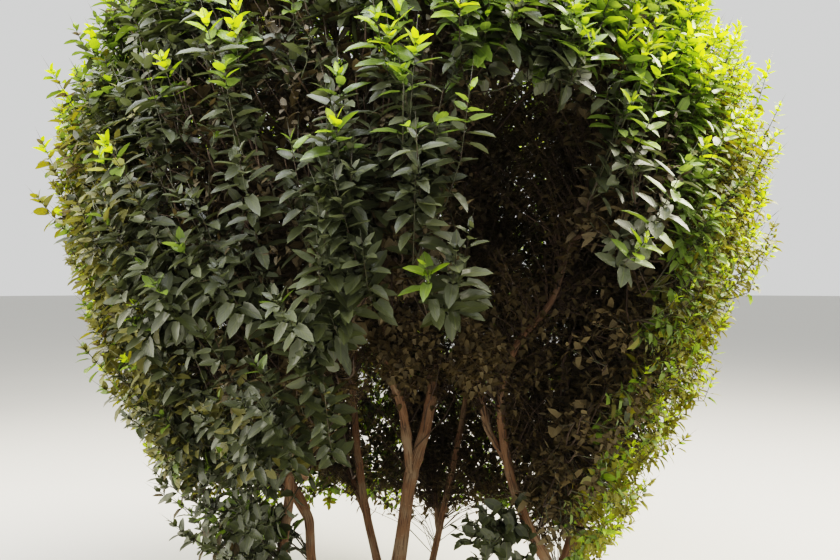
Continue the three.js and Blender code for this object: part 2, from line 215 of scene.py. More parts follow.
def share(label, description, default):
    """A plain ratio property."""
    return FloatProperty(name=label, description=description, default=default, subtype="FACTOR")


def colour(label, description, default):
    """A colour property whose default is an sRGB hex value."""
    return FloatVectorProperty(
        name=label, description=description, default=linear(default), size=4, subtype="COLOR", min=0, max=1,
    )


class PrivetCrown(PropertyGroup):
    """The crown's clipped outline"""

    radius: length("Radius", "Half the crown's width at its widest", 650)
    widest: length("Widest height", "Height at which the crown is widest", 880)
    dome: length("Dome rise", "Rise of the clipped top above the widest height", 612)
    bottom: length("Bottom", "Height of the crown's bottom edge at the back", 190)
    skirt_lift: length("Skirt lift", "How much higher the bottom edge in the front", 220)
    skirt_azimuth: FloatProperty(
        name="Skirt azimuth", description="Where the bottom edge is highest, in degrees from the front",
        default=-35,
    )
    cone_slope: share("Cone slope", "How fast the crown narrows towards the ground", 0.47)
    rounding: length("Rounding", "Softness of the turn from the cone to the dome", 165)
    axis_x: length("Middle line x", "Where the crown's middle line stands, to the right of the main stem", 55)
    axis_y: length("Middle line y", "Where the crown's middle line stands, behind the main stem", 20)
    lean_start: length("Lean start", "Height below which the middle line leans to the left", 800)
    lean: share("Lean", "Slope of the middle line below that height", 0.04)


class PrivetLimbs(PropertyGroup):
    """The stems, the boughs and the stool"""

    tip: length("Tip radius", "Radius of each limb where it enters a mass", 4.5)
    taper: share("Taper", "Power of the taper along a limb", 0.8)
    flare: share("Root flare", "Share by which a stem's foot is wider", 0.6)
    flare_height: length("Flare height", "Height over which the root flare fades", 32)
    foot_rise: length("Foot rise", "Height over which a stem leaves the ground upright", 35)
    ridge: share("Ridges", "Depth of the bark's lengthwise ridges, as a share of the radius", 0.075)
    ring: length("Ring spacing", "Distance between the rings of a limb's skin", 6)
    stool_radius: length("Stool radius", "Radius of the woody stool's hub", 56)
    stool_arm: length("Stool arm", "Radius of a stool arm at the hub", 33)
    stool_arm_end: length("Stool arm end", "Radius of a stool arm at the stem's foot", 23)


class PrivetShoots(PropertyGroup):
    """How much grows from the limbs, and the shoots' lengths"""

    seed: IntProperty(name="Seed", description="Seed of the growth", default=7)
    branchlets: IntProperty(name="Branchlets", description="Branchlets in each mass", default=14)
    twigs: IntProperty(name="Twigs", description="Twigs in the whole crown", default=1900)
    shoots: IntProperty(name="Shoots", description="Upright leafy shoots in the whole crown", default=4600)
    spurs: IntProperty(name="Spurs", description="Short leafy side twigs inside the shell", default=10500)
    bare: IntProperty(name="Bare twigs", description="Leafless twigs inside the crown", default=420)
    inner: IntProperty(name="Inner twigs", description="Thin twigs with small old leaves", default=7200)
    low: IntProperty(name="Low sprays", description="Leafy sprays from the stems low down", default=110)
    leafy: length("Leafy length", "Length of a front shoot that carries leaves", 150)
    internode: length("Internode", "Distance between the pairs of leaves on a front shoot", 12.5)
    farthest: length("Farthest", "Longest way from a twig's end to a shoot's first leaves", 150)


class PrivetLeaves(PropertyGroup):
    """The leaves' sizes and colours"""

    front: length("Front leaf", "Length of a full-grown leaf in the shaded front", 42)
    side: length("Side leaf", "Length of a full-grown leaf on the shaded sides", 27)
    sunny: length("Sunny leaf", "Length of a full-grown leaf on the sunlit sides", 20)
    inner: length("Inner leaf", "Length of a leaf deep inside the shell", 32)
    old: length("Old leaf", "Length of a leaf on the thin twigs inside the crown", 19)
    width: share("Width", "Width of a leaf as a share of its length", 0.41)
    dull: colour("Dull leaf", "Old, thin leaf inside the crown", "#62563a")
    shade: colour("Shade leaf", "Old leaf in the shade", "#484c38")
    olive: colour("Olive leaf", "Old leaf on the yellowed flanks", "#706d3c")
    green: colour("Green leaf", "Full-grown leaf in half shade", "#5f7230")
    amber: colour("Amber leaf", "Sunlit leaf on the yellowed flanks", "#70701b")
    fresh: colour("Fresh leaf", "Full-grown leaf in the sun", "#7f9c28")
    golden: colour("Golden leaf", "Young leaf at a shoot's tip", "#b5cf28")


class PrivetBark(PropertyGroup):
    """The colours of the bark"""

    brown: colour("Bark", "Main colour of the bark", "#674a31")
    grey: colour("Grey bark", "Weathered patches of the bark", "#705c46")
    # The furrow colour is also the painted shade on the bark up inside the crown
    dark: colour("Furrows", "Colour in the furrows of the bark", "#3d2d20")
    twig: colour("Twig", "Bark of the branchlets and twigs", "#32261b")
    shoot: colour("Shoot", "Skin of a young shoot", "#3a3f26")


class PrivetStudio(PropertyGroup):
    """The camera, the lights, the floor and the room"""

    camera_x: length("Camera x", "Camera place to the right of the main stem", 69)
    camera_y: length("Camera y", "Camera place behind the main stem", -1600)
    camera_z: length("Camera height", "Height of the camera, which looks level along +Y", 705)
    lens: FloatProperty(name="Lens", description="Focal length on a 36 mm wide sensor, in mm", default=36)
    sun: FloatProperty(
        name="Back light", description="Power of the light behind the shrub, in W", default=505,
    )
    sky: FloatProperty(name="Top light", description="Power of the light overhead, in W", default=118)
    rim: FloatProperty(name="Rim light", description="Power of the light at the back left, in W", default=50)
    fill: FloatProperty(name="Front light", description="Power of the light in front, in W", default=200)
    room: FloatProperty(name="Room light", description="Strength of the light from all sides", default=1.25)
    floor: colour("Floor", "Plain pale floor", "#b9b7b2")
    wall: colour("Room", "Plain pale room all round", "#dfe0df")


# The crown's outline, worked on whole arrays of points


def smooth(x, low, high):
    """0 below low, 1 above high, and a smooth S between them."""
    t = np.clip((x - low) / (high - low), 0, 1)
    return t * t * (3 - 2 * t)


def unit(v):
    """Vectors at length 1."""
    return v / np.maximum(np.linalg.norm(v, axis=-1, keepdims=True), 1e-12)


def axis_at(z):
    """Points of the crown's middle line, which leans to the left below the lean's start."""
    crown = bpy.context.scene.privet_crown
    z = np.asarray(z, float)
    x = crown.axis_x - crown.lean * np.maximum(0, crown.lean_start - z)
    return np.stack([x, np.full_like(z, crown.axis_y), z], -1)


def reach_at(z, level=1.0):
    """How far the crown reaches out at a height: a rounded upside-down cone under an elliptical dome."""
    crown = bpy.context.scene.privet_crown
    z = np.asarray(z, float)
    cone = crown.radius - crown.cone_slope * (np.hypot(crown.widest - z, crown.rounding) - crown.rounding)
    rise = (z - crown.widest) / crown.dome
    dome = crown.radius * np.sqrt(np.maximum(0, np.square(level) - rise**2))
    return np.where(z < crown.widest, level * cone, dome)


def level_of(p):
    """1 on the outline and 0 on the middle line."""
    crown = bpy.context.scene.privet_crown
    out = np.linalg.norm(p - axis_at(p[..., 2]), axis=-1)
    dome = np.hypot(out / crown.radius, (p[..., 2] - crown.widest) / crown.dome)
    return np.where(p[..., 2] < crown.widest, out / reach_at(np.minimum(p[..., 2], crown.widest)), dome)


def outward_at(azimuth):
    """Level directions at azimuths in degrees from the front, positive to the right."""
    angle = np.radians(azimuth)
    return np.stack([np.sin(angle), -np.cos(angle), np.zeros_like(angle)], -1)


def crown_point(z, azimuth, level):
    """Points at a height, an azimuth and a level."""
    return axis_at(z) + outward_at(azimuth) * np.asarray(reach_at(z, level))[..., None]


def azimuth_of(p):
    """Azimuths of points round the middle line."""
    out = p - axis_at(p[..., 2])
    return np.degrees(np.arctan2(out[..., 0], -out[..., 1]))


def bottom_at(azimuth):
    """Height of the crown's bottom edge: lowest at the back, and highest where the skirt is lifted."""
    crown = bpy.context.scene.privet_crown
    facing = (1 + np.cos(np.radians(azimuth - crown.skirt_azimuth))) / 2
    return crown.bottom + crown.skirt_lift * facing**2


def thinness(azimuth, z):
    """1 in the thin place beside the bare ones and 0 away from it."""
    start, end, low, high = THIN_PLACE
    round_it = smooth(azimuth, start - 8, start + 8) * (1 - smooth(azimuth, end - 14, end))
    return round_it * smooth(z / MM, low - 40, low + 40) * (1 - smooth(z / MM, high - 120, high))


def in_window(p, blur=0.0, margin=0.0, hang=0.0):
    """True where a point lies in one of the bare places in the front.

    A blur in degrees frays their edges, a margin in degrees widens them, and the columns of shoots hang into
    them from above by up to twice the hang, in mm.
    """
    azimuth = azimuth_of(p) + blur
    height = p[..., 2] / MM + 8 * np.asarray(blur)
    height = height - hang * np.cos(2 * math.pi * azimuth / COLUMN + p[..., 2] * 4)
    inside = np.zeros(azimuth.shape, bool)
    for start, end, bottom, top in WINDOWS:
        round_it = (azimuth > start - margin) & (azimuth < end + margin)
        inside |= round_it & (height > bottom) & (height < top + 10 * margin)
    return inside


def in_hollow(p, blur=0.0):
    """True in the dark hollows between the shoots of the shaded front.

    They lie where the product of two slanting waves, with a quarter of a finer wave added, is high. A blur
    frays their edges.
    """
    azimuth, z = azimuth_of(p), p[..., 2]
    wave = np.sin(0.21 * azimuth + 11 * z) * np.sin(0.16 * azimuth - 17 * z + 1.3)
    wave = wave + 0.25 * np.sin(0.9 * azimuth + 31 * z) + blur
    front = smooth(azimuth, -62, -40) * (1 - smooth(azimuth, 40, 60)) * smooth(z, 0.45, 0.6)
    return wave * front > 0.56


def warmth(p):
    """Share of the leaves that have yellowed: most on the left flank, on the right-hand rim and low down.

    It fades towards the back.
    """
    azimuth, z = azimuth_of(p), p[..., 2]
    left = 0.85 * smooth(-azimuth, 34, 70) * (1 - smooth(z, 0.8, 1.1))
    right = 0.92 * smooth(azimuth, 40, 60) * (1 - smooth(z, 0.8 + 0.006 * (azimuth - 50), 1.1))
    low = 0.35 * smooth(-azimuth, 5, 35) * (1 - smooth(z, 0.4, 0.65))
    return np.maximum(np.maximum(left, right), low) * (1 - 0.5 * smooth(np.abs(azimuth), 105, 140))


def spread_over_crown(count):
    """Points spread evenly over the outline: heights, azimuths and ways outwards.

    The heights share the area out evenly, and the azimuths step by the golden angle.
    """
    crown = bpy.context.scene.privet_crown
    top = crown.widest + crown.dome
    heights = crown.bottom + (top - crown.bottom) * np.sin(np.linspace(0, math.pi / 2, 401))
    reach = reach_at(heights)
    slant = np.hypot(np.diff(heights), np.diff(reach))
    areas = np.concatenate([[0], np.cumsum((reach[:-1] + reach[1:]) * slant)])
    z = np.interp((np.arange(count) + 0.5) / count * areas[-1], areas, heights)
    azimuth = (np.arange(count) * GOLDEN_ANGLE + 180) % 360 - 180
    flatness = -np.interp(z, (heights[:-1] + heights[1:]) / 2, np.diff(reach) / np.diff(heights))
    return z, azimuth, unit(outward_at(azimuth) + flatness[:, None] * UP)


# The masses' own spaces


def mass_centres():
    """Each mass's centre, by name."""
    centres = {TOP_MASS: axis_at(TOP_HEIGHT)}
    for ring, (height, azimuths) in RINGS.items():
        for place, azimuth in azimuths.items():
            centres[f"foliage_{ring}_{place}"] = crown_point(height * MM, azimuth, SHELL_MIDDLE)
    return centres


def ring_of(mass):
    """The ring that a mass belongs to. The top mass goes with the upper ring."""
    return "upper" if mass == TOP_MASS else mass.split("_")[1]


def picked(things, keep):
    """The rows that a mask keeps, of every array in a dict."""
    return {key: values[keep] for key, values in things.items()}


def squared_distances(a, b):
    """Squared distance of each point of a to each point of b."""
    return np.maximum(0, (a**2).sum(-1)[:, None] + (b**2).sum(-1)[None] - 2 * a @ b.T)


def nearest_mass(p):
    """Index of the mass in whose space each point lies: the nearest centre."""
    return squared_distances(p, np.array(list(mass_centres().values()))).argmin(1)


# Limbs


def entry_of(mass):
    """Way outwards and end point of the limb that feeds a mass.

    From the mass's centre the line runs inwards, every 5 mm, while it stays in the shell, above the bottom
    edge, in the mass's own space and clear of the bare places. The limb ends 22 mm short of where it stops.
    """
    centres = mass_centres()
    centre = centres[mass]
    outward = unit(centre - axis_at(centre[2] - 260 * MM))
    steps = np.arange(1, 57)[:, None] * 5 * MM
    line = centre - outward * steps
    level = level_of(line)
    own = np.full(len(line), np.inf)
    for name, other in centres.items():
        if name != mass:
            beyond = ((line - other) ** 2).sum(-1) - ((line - centre) ** 2).sum(-1)
            own = np.minimum(own, beyond / (2 * np.linalg.norm(other - centre)))
    inside = (level > SHELL_INSIDE) & (level < SHELL_OUTSIDE) & (own > 8 * MM) & ~in_window(line)
    inside &= line[:, 2] > bottom_at(azimuth_of(line)) + 5 * MM
    reach = max(int(np.argmin(inside)) if not inside.all() else len(line), 3) * 5 * MM
    return outward, centre - outward * (reach + 22 * MM)


def catmull_rom(points, per_span=40):
    """A centripetal Catmull-Rom curve through the points, as evenly many samples on each span."""
    points = np.asarray(points, float)
    ends = [2 * points[0] - points[1], *points, 2 * points[-1] - points[-2]]
    t = np.linspace(0, 1, per_span, endpoint=False)[:, None]
    spans = []
    for a, b, c, d in zip(ends, ends[1:], ends[2:], ends[3:]):
        before, own, after = (math.sqrt(np.linalg.norm(q - p)) for p, q in ((a, b), (b, c), (c, d)))
        leave = ((b - a) / before - (c - a) / (before + own) + (c - b) / own) * own
        arrive = ((c - b) / own - (d - b) / (own + after) + (d - c) / after) * own
        cubic = 2 * b - 2 * c + leave + arrive
        square = 3 * c - 3 * b - 2 * leave - arrive
        spans.append(b + leave * t + square * t**2 + cubic * t**3)
    return np.concatenate([*spans, points[-1:]])


def along(curve, count):
    """The curve as count points at even distances."""
    gone = np.concatenate([[0], np.cumsum(np.linalg.norm(np.diff(curve, axis=0), axis=1))])
    wanted = np.linspace(0, gone[-1], count)
    return np.stack([np.interp(wanted, gone, curve[:, i]) for i in range(3)], -1)


def route_to(mass, points):
    """A limb's curve through its points and then straight in to its mass, in even steps."""
    outward, tip = entry_of(mass)
    curve = catmull_rom([*points, tip - outward * LAST_PART, tip])
    return along(curve, LIMB_STEPS + 1)


def limb_routes():
    """Every limb by name: its curve in even steps, its radius there and the mass at its tip.

    The radius shrinks from foot to tip by a power of the way along, and a stem's foot flares out over the
    flare's height. A bough without points of its own arches up by 0.12 of its length.
    """
    limbs = bpy.context.scene.privet_limbs
    t = np.linspace(0, 1, LIMB_STEPS + 1)
    routes = {}
    for name, ((x, y), radius, mass, by) in STEMS.items():
        foot = [(x * MM, y * MM, 0), (x * MM, y * MM, limbs.foot_rise)]
        curve = route_to(mass, [np.array(p) for p in foot] + [np.array(p) * MM for p in by])
        reach = np.linalg.norm(np.diff(curve, axis=0), axis=1).sum()
        flare = 1 + limbs.flare * np.exp(-t * reach / limbs.flare_height)
        taper = radius * MM + (limbs.tip - radius * MM) * t**limbs.taper
        routes[name] = (curve, flare * taper, mass)
    for name, (parent, at, radius, mass, by) in BOUGHS.items():
        start = routes[parent][0][round(at * LIMB_STEPS)]
        tip = entry_of(mass)[1]
        arch = (start + tip) / 2 + UP * 0.12 * np.linalg.norm(tip - start)
        points = [np.array(p) * MM for p in by] if by else [arch]
        curve = route_to(mass, [start, *points])
        routes[name] = (curve, radius * MM + (limbs.tip - radius * MM) * t**limbs.taper, mass)
    return routes


# Meshes from arrays


def new_piece(name, vertices, faces, material, uv=None, tone=None):
    """A smooth mesh object from arrays. faces is a list of index arrays, each with one count of corners."""
    mesh = bpy.data.meshes.new(name)
    corners = np.concatenate([f.ravel() for f in faces]).astype(np.int32)
    sizes = np.concatenate([np.full(len(f), f.shape[1]) for f in faces])
    starts = np.concatenate([[0], np.cumsum(sizes)[:-1]]).astype(np.int32)
    mesh.vertices.add(len(vertices))
    mesh.vertices.foreach_set("co", np.asarray(vertices, np.float32).ravel())
    mesh.loops.add(len(corners))
    mesh.loops.foreach_set("vertex_index", corners)
    mesh.polygons.add(len(sizes))
    mesh.polygons.foreach_set("loop_start", starts)
    mesh.polygons.foreach_set("use_smooth", np.ones(len(sizes), bool))
    mesh.update(calc_edges=True)
    if uv is not None:
        layer = mesh.uv_layers.new(name="surface")
        layer.data.foreach_set("uv", np.asarray(uv, np.float32)[corners].ravel())
    if tone is not None:
        layer = mesh.attributes.new("tone", "FLOAT", "POINT")
        layer.data.foreach_set("value", np.asarray(tone, np.float32))
    mesh.materials.append(material)
    made = bpy.data.objects.new(name, mesh)
    bpy.context.scene.collection.objects.link(made)
    return made


def frames_along(points):
    """Directions at the points of curves (n, k, 3): the tangent, and two square to it.

    These start near one fixed direction and turn as little as they can from point to point.
    """
    tangents = unit(np.gradient(points, axis=1))
    normal = np.tile([0.3, 1.0, 0.2], (len(points), 1))
    normals = []
    for k in range(points.shape[1]):
        ahead = tangents[:, k]
        normal = unit(normal - ahead * (normal * ahead).sum(-1, keepdims=True))
        normals.append(normal)
    normals = np.stack(normals, 1)
    return tangents, normals, np.cross(tangents, normals)


def tubes(points, radii, sides, relief=None):
    """Closed tubes round curves (n, k, 3) with radii (n, k): flat at the foot, and a point at the tip.

    A ring's point is centre + radius (normal cos a + side sin a). The UV map holds the way round and the way
    along in metres.
    """
    count, rings = radii.shape
    _, normals, across = frames_along(points)
    angle = np.linspace(0, 2 * math.pi, sides, endpoint=False)
    grown = radii[..., None] * (1 if relief is None else 1 + relief)
    round_it = normals[:, :, None] * np.cos(angle)[:, None] + across[:, :, None] * np.sin(angle)[:, None]
    skin = points[:, :, None] + round_it * np.broadcast_to(grown, (count, rings, sides))[..., None]
    tips = points[:, -1] + (points[:, -1] - points[:, -2]) * 0.5
    vertices = np.concatenate([skin.reshape(-1, 3), tips])
    ring = (np.arange(count)[:, None, None] * rings + np.arange(rings)[:, None]) * sides
    here = ring + np.arange(sides)
    ahead = ring + (np.arange(sides) + 1) % sides
    quads = np.stack([here[:, :-1], ahead[:, :-1], ahead[:, 1:], here[:, 1:]], -1).reshape(-1, 4)
    tip = np.broadcast_to((count * rings * sides + np.arange(count))[:, None], (count, sides))
    fans = np.stack([here[:, -1], ahead[:, -1], tip], -1).reshape(-1, 3)
    gone = np.cumsum(np.linalg.norm(np.diff(points, axis=1, prepend=points[:, :1]), axis=-1), axis=1)
    u = np.broadcast_to(angle * radii.max(initial=0), (count, rings, sides))
    v = np.broadcast_to(gone[..., None], (count, rings, sides))
    uv = np.concatenate([np.stack([u, v], -1).reshape(-1, 2), np.stack([np.zeros(count), gone[:, -1]], -1)])
    return vertices, [quads, fans, here[:, 0, ::-1]], uv


def between_rings(rings, around):
    """The quads between level rings of points, from the innermost out and facing up, and the first ring."""
    first = np.arange(around)
    here = np.arange(rings - 1)[:, None] * around + first
    ahead = np.arange(rings - 1)[:, None] * around + (first + 1) % around
    return np.stack([here, here + around, ahead + around, ahead], -1).reshape(-1, 4), first


def joined(parts):
    """Several (vertices, faces, uv) sets as one."""
    vertices, faces, uvs, first = [], [], [], 0
    for v, f, uv in parts:
        vertices.append(v)
        faces += [group + first for group in f]
        uvs.append(uv)
        first += len(v)
    return np.concatenate(vertices), faces, np.concatenate(uvs)


# Growth


def bezier(start, leave, arrive, end, steps):
    """Cubic curves between arrays of points, sampled at even steps of their parameter: (n, steps + 1, 3)."""
    t = np.linspace(0, 1, steps + 1)[None, :, None]
    start, leave, arrive, end = (p[:, None] for p in (start, leave, arrive, end))
    return (1 - t) ** 3 * start + 3 * t * (1 - t) ** 2 * leave + 3 * t**2 * (1 - t) * arrive + t**3 * end


def nearest_of(points, groups, nodes, node_groups):
    """Index of the nearest node of each point's own group: other groups' nodes count as 10 m off."""
    apart = squared_distances(points, nodes) + 10.0**2 * (groups[:, None] != node_groups[None])
    return apart.argmin(1)


def openness(outward):
    """How much sun a place gets by the way it faces.

    It is high at the top, on the right and behind, and a little higher at the left rim than in the front.
    """
    x, y, z = outward[:, 0], outward[:, 1], outward[:, 2]
    behind = smooth(y + 0.25 * np.maximum(x, 0) + 0.2 * np.minimum(x, 0), -0.5, 0.35)
    above = smooth(z, 0.0, 0.8) * (0.4 + 0.6 * smooth(x, -0.5, 0.1))
    right = smooth(x, 0.3, 0.85)
    left = smooth(-x, 0.7, 0.98)
    return 1 - (1 - behind) * (1 - 0.85 * above) * (1 - 0.9 * right) * (1 - 0.35 * left)


def fineness(outward):
    """Where the clipped crown is dense and small-leaved: behind, on the right-hand rim and on the top."""
    x, y, z = outward[:, 0], outward[:, 1], outward[:, 2]
    right = smooth(x - 0.6 * np.minimum(z, 0), 0.62, 0.95)
    return 1 - (1 - smooth(y, -0.35, 0.3)) * (1 - right) * (1 - 0.6 * smooth(z, 0.7, 1.0))


def cross_window(curves, margin, clearance, lowest):
    """True for curves (n, k, 3) that cross a bare place in front of the stems or hang too little above one.

    Up to the free level, and below the lowest height in metres, they may cross.
    """
    hanging = in_window(curves - UP * clearance, 0, margin) & (curves[..., 2] > WINDOW_TOP)
    crossing = in_window(curves, 0, margin) | hanging
    return (crossing & (level_of(curves) > FREE_LEVEL) & (curves[..., 2] > lowest)).any(1)


def grow_branchlets(random):
    """Branchlets fan out from each limb's outer 40% to nodes in the inner half of its mass's space.

    One that would cross a bare place in front of the stems, or hang less than 90 mm above one, is left out.
    """
    shoots = bpy.context.scene.privet_shoots
    names = list(mass_centres())
    feeders = {mass: (curve, radii) for curve, radii, mass in limb_routes().values()}
    z, azimuth, outward = spread_over_crown(shoots.branchlets * len(names))
    node = crown_point(z, azimuth, 1.0) - outward * (0.17 + 0.05 * random.random(len(z)))[:, None]
    mass = nearest_mass(node)
    kept = ~in_window(node) & (z > bottom_at(azimuth))
    node, mass, outward = node[kept], mass[kept], outward[kept]
    at = (240 + 158 * random.random(len(node)) ** 0.7).astype(int)
    curves = np.array([feeders[names[m]][0] for m in mass])
    rows = np.arange(len(node))
    start, before, after = (curves[rows, np.minimum(at + off, LIMB_STEPS)] for off in (0, -2, 4))
    radius = np.array([feeders[names[m]][1] for m in mass])[rows, at]
    gap = np.linalg.norm(node - start, axis=1, keepdims=True)
    sway = (random.random((len(node), 3)) - 0.5) * 0.35
    leave = start + (0.4 * unit(after - before) + 0.7 * unit(node - start) + sway) * gap * 0.4
    arrive = node - unit(0.6 * outward + 0.5 * UP + unit(node - start) + sway) * gap * 0.35
    curves = bezier(start, leave, arrive, node, 8)
    kept = ~cross_window(curves, 6, 90 * MM, 0.45)
    thick = np.minimum(radius * 0.7, 3.0 * MM)[kept]
    return curves[kept], thick[:, None] * np.linspace(1, 0.6, 9), node[kept], mass[kept]


def grow_twigs(random, nodes, masses):
    """Twigs leave the branchlets' ends and spread to nodes just under the leafy skin.

    One that would cross a bare place, or hang less than 50 mm above one, is left out.
    """
    shoots = bpy.context.scene.privet_shoots
    z, azimuth, outward = spread_over_crown(shoots.twigs)
    z = z + (random.random(len(z)) - 0.5) * 30 * MM
    depth = 0.07 + 0.055 * random.random(len(z))
    azimuth = azimuth + (random.random(len(z)) - 0.5) * 6
    node = crown_point(z, azimuth, 1.0) - outward * depth[:, None]
    kept = ~in_window(node) & (z > bottom_at(azimuth) - 10 * MM)
    node, outward = node[kept], outward[kept]
    mass = nearest_mass(node)
    start = nodes[nearest_of(node - UP * 60 * MM, mass, nodes, masses)]
    gap = np.linalg.norm(node - start, axis=1, keepdims=True)
    sway = (random.random((len(node), 3)) - 0.5) * 0.7
    leave = start + unit(outward + 0.5 * UP + sway) * gap * 0.35
    arrive = node - unit(outward * 0.5 + UP + sway) * gap * 0.4
    curves = bezier(start, leave, arrive, node, 6)
    kept = ~cross_window(curves, 1, 50 * MM, 0.6)
    curves, node, mass = curves[kept], node[kept], mass[kept]
    return curves, np.tile(np.linspace(2.1, 1.5, 7) * MM, (len(node), 1)), node, mass


def grow_shoots(random, nodes, masses):
    """Upright shoots leave the twigs' ends and rise to the clipped outline.

    They are drawn together into columns: an azimuth moves by a sine of itself. The shaded front has fewer and
    longer shoots, and the thin place only a few. One in twelve strays a little past the outline. A shoot that
    would start too far from a twig, cross a bare place or stand in a hollow is left out.
    """
    settings = bpy.context.scene.privet_shoots
    z, azimuth, outward = spread_over_crown(settings.shoots)
    z = z + (random.random(len(z)) - 0.5) * 24 * MM
    azimuth = azimuth + (random.random(len(z)) - 0.5) * 3
    azimuth += 0.95 * COLUMN / (2 * math.pi) * np.sin(2 * math.pi * azimuth / COLUMN + z * 4)
    sun = openness(outward)
    depth = 0.012 + 0.05 * random.random(len(z)) ** 1.5
    stray = random.random(len(z)) < 1 / 12
    depth = np.where(stray, -0.004 - 0.012 * random.random(len(z)), depth)
    tip = crown_point(z, azimuth, 1.0) - outward * depth[:, None]
    side = smooth(np.abs(azimuth + 5), 28, 75)
    thin = thinness(azimuth, z)
    fine = fineness(outward)
    wanted = (0.34 + 0.66 * np.maximum(fine, 0.5 * side)) * (1 - 0.75 * thin)
    edge = smooth(z, bottom_at(azimuth) - 60 * MM, bottom_at(azimuth) + 40 * MM)
    open_place = in_window(tip, random.normal(0, 5, len(z)))
    kept = ~open_place & (random.random(len(z)) < wanted * (0.04 + 0.96 * edge))
    tip, outward, sun, side, thin, fine = (a[kept] for a in (tip, outward, sun, side, thin, fine))
    count = len(tip)
    lean = (0.3 + 0.35 * random.random((count, 1))) * (1 - 0.45 * fine[:, None])
    sway = (random.random((count, 3)) - 0.5) * (0.26 + 0.2 * fine[:, None])
    way = unit(outward * lean + UP * 0.8 + sway)
    leafy = settings.leafy * (1 - 0.42 * fine) * (1 - 0.25 * side) * (0.75 + 0.5 * random.random(count))
    foot = tip - way * leafy[:, None]
    mass = nearest_mass(tip)
    start = nodes[nearest_of(foot - outward * 0.03, mass, nodes, masses)]
    gap = np.linalg.norm(foot - start, axis=1, keepdims=True)
    leave = start + unit(outward + 0.6 * UP) * gap * 0.3
    curves = bezier(start, leave, tip - way * (leafy[:, None] + 0.3 * gap) * 0.75, tip, 8)
    thick = 1.3 - 0.35 * fine
    made = {
        "curves": curves,
        "radii": thick[:, None] * np.linspace(1.1, 0.5, 9) * MM,
        "mass": mass,
        "outward": outward,
        "sun": sun,
        "side": side,
        "thin": thin,
        "fine": fine,
        "leafy": leafy,
        "loose": np.ones(count),
    }
    crosses = in_window(curves[:, 1:7]).any(1) | (in_hollow(curves[:, 4:]).sum(1) > 1)
    return picked(made, (gap[:, 0] < settings.farthest) & ~crosses)


def grow_spurs(random, nodes, masses):
    """Short side twigs with a few large, old leaves fill the shell behind the shoots.

    They are densest in the sun, in the thin place and on the left flank, where they also lie nearer the skin.
    """
    settings = bpy.context.scene.privet_shoots
    z, azimuth, outward = spread_over_crown(settings.spurs)
    z = z + (random.random(len(z)) - 0.5) * 40 * MM
    azimuth = azimuth + (random.random(len(z)) - 0.5) * 8
    depth = 0.06 + 0.13 * random.random(len(z))
    depth -= 0.03 * smooth(-azimuth, 34, 60)
    tip = crown_point(z, azimuth, 1.0) - outward * depth[:, None]
    thin = thinness(azimuth, z)
    sun = openness(outward)
    wanted = np.maximum(np.maximum(0.45 + 0.55 * sun, thin), smooth(-azimuth, 34, 52))
    kept = ~in_window(tip, random.normal(0, 2, len(z)), 5) & (z > bottom_at(azimuth))
    kept &= random.random(len(z)) < wanted
    tip, outward, depth, thin, sun = tip[kept], outward[kept], depth[kept], thin[kept], sun[kept]
    mass = nearest_mass(tip)
    start = nodes[nearest_of(tip - UP * 0.03, mass, nodes, masses)]
    gap = np.linalg.norm(tip - start, axis=1, keepdims=True)
    way = unit(outward * 0.5 + UP * 0.5 + (random.random((len(tip), 3)) - 0.5) * 1.4)
    made = {
        "curves": bezier(start, start + outward * gap * 0.3, tip - way * gap * 0.4, tip, 4),
        "radii": np.tile(np.linspace(1.1, 0.6, 5) * MM, (len(tip), 1)),
        "mass": mass,
        "outward": outward,
        # Little sun reaches deep into the shell
        "sun": np.minimum(sun, 0.75) - 4 * depth,
        "thin": thin,
        "depth": depth,
    }
    return picked(made, gap[:, 0] < settings.farthest)


def limb_points(step):
    """Points on the limbs, every so many steps of each, with the radius and the way along the limb there."""
    places, radii, ways = [], [], []
    for curve, radius, _ in limb_routes().values():
        places.append(curve[::step])
        radii.append(radius[::step])
        ways.append(unit(np.gradient(curve, axis=0))[::step])
    return np.concatenate(places), np.concatenate(radii), np.concatenate(ways)


def grow_bare_twigs(random):
    """Leafless twigs leave the limbs inside the crown and rise steeply towards the shell."""
    count = bpy.context.scene.privet_shoots.bare
    places, radii, _ = limb_points(4)
    high = np.flatnonzero(places[:, 2] > 0.3)
    chosen = random.choice(high, count)
    start, thick = places[chosen], radii[chosen]
    azimuth = random.random(count) * 360
    way = unit(outward_at(azimuth) * (0.25 + 0.5 * random.random((count, 1))) + UP)
    reach = 0.1 + 0.3 * random.random((count, 1)) ** 1.5
    end = start + way * reach
    end = start + (end - start) * np.minimum(1, 0.88 / np.maximum(level_of(end), 0.01))[:, None]
    sway = (random.random((count, 3)) - 0.5) * reach * 0.5
    leave = start + way * reach * 0.3 + sway * 0.6
    curves = bezier(start, leave, end - UP * reach * 0.4 - sway * 0.3, end, 7)
    return {
        "curves": curves,
        "radii": np.minimum(thick * 0.4, 1.3 * MM)[:, None] * np.linspace(1, 0.35, 8),
        "mass": nearest_mass(end),
    }


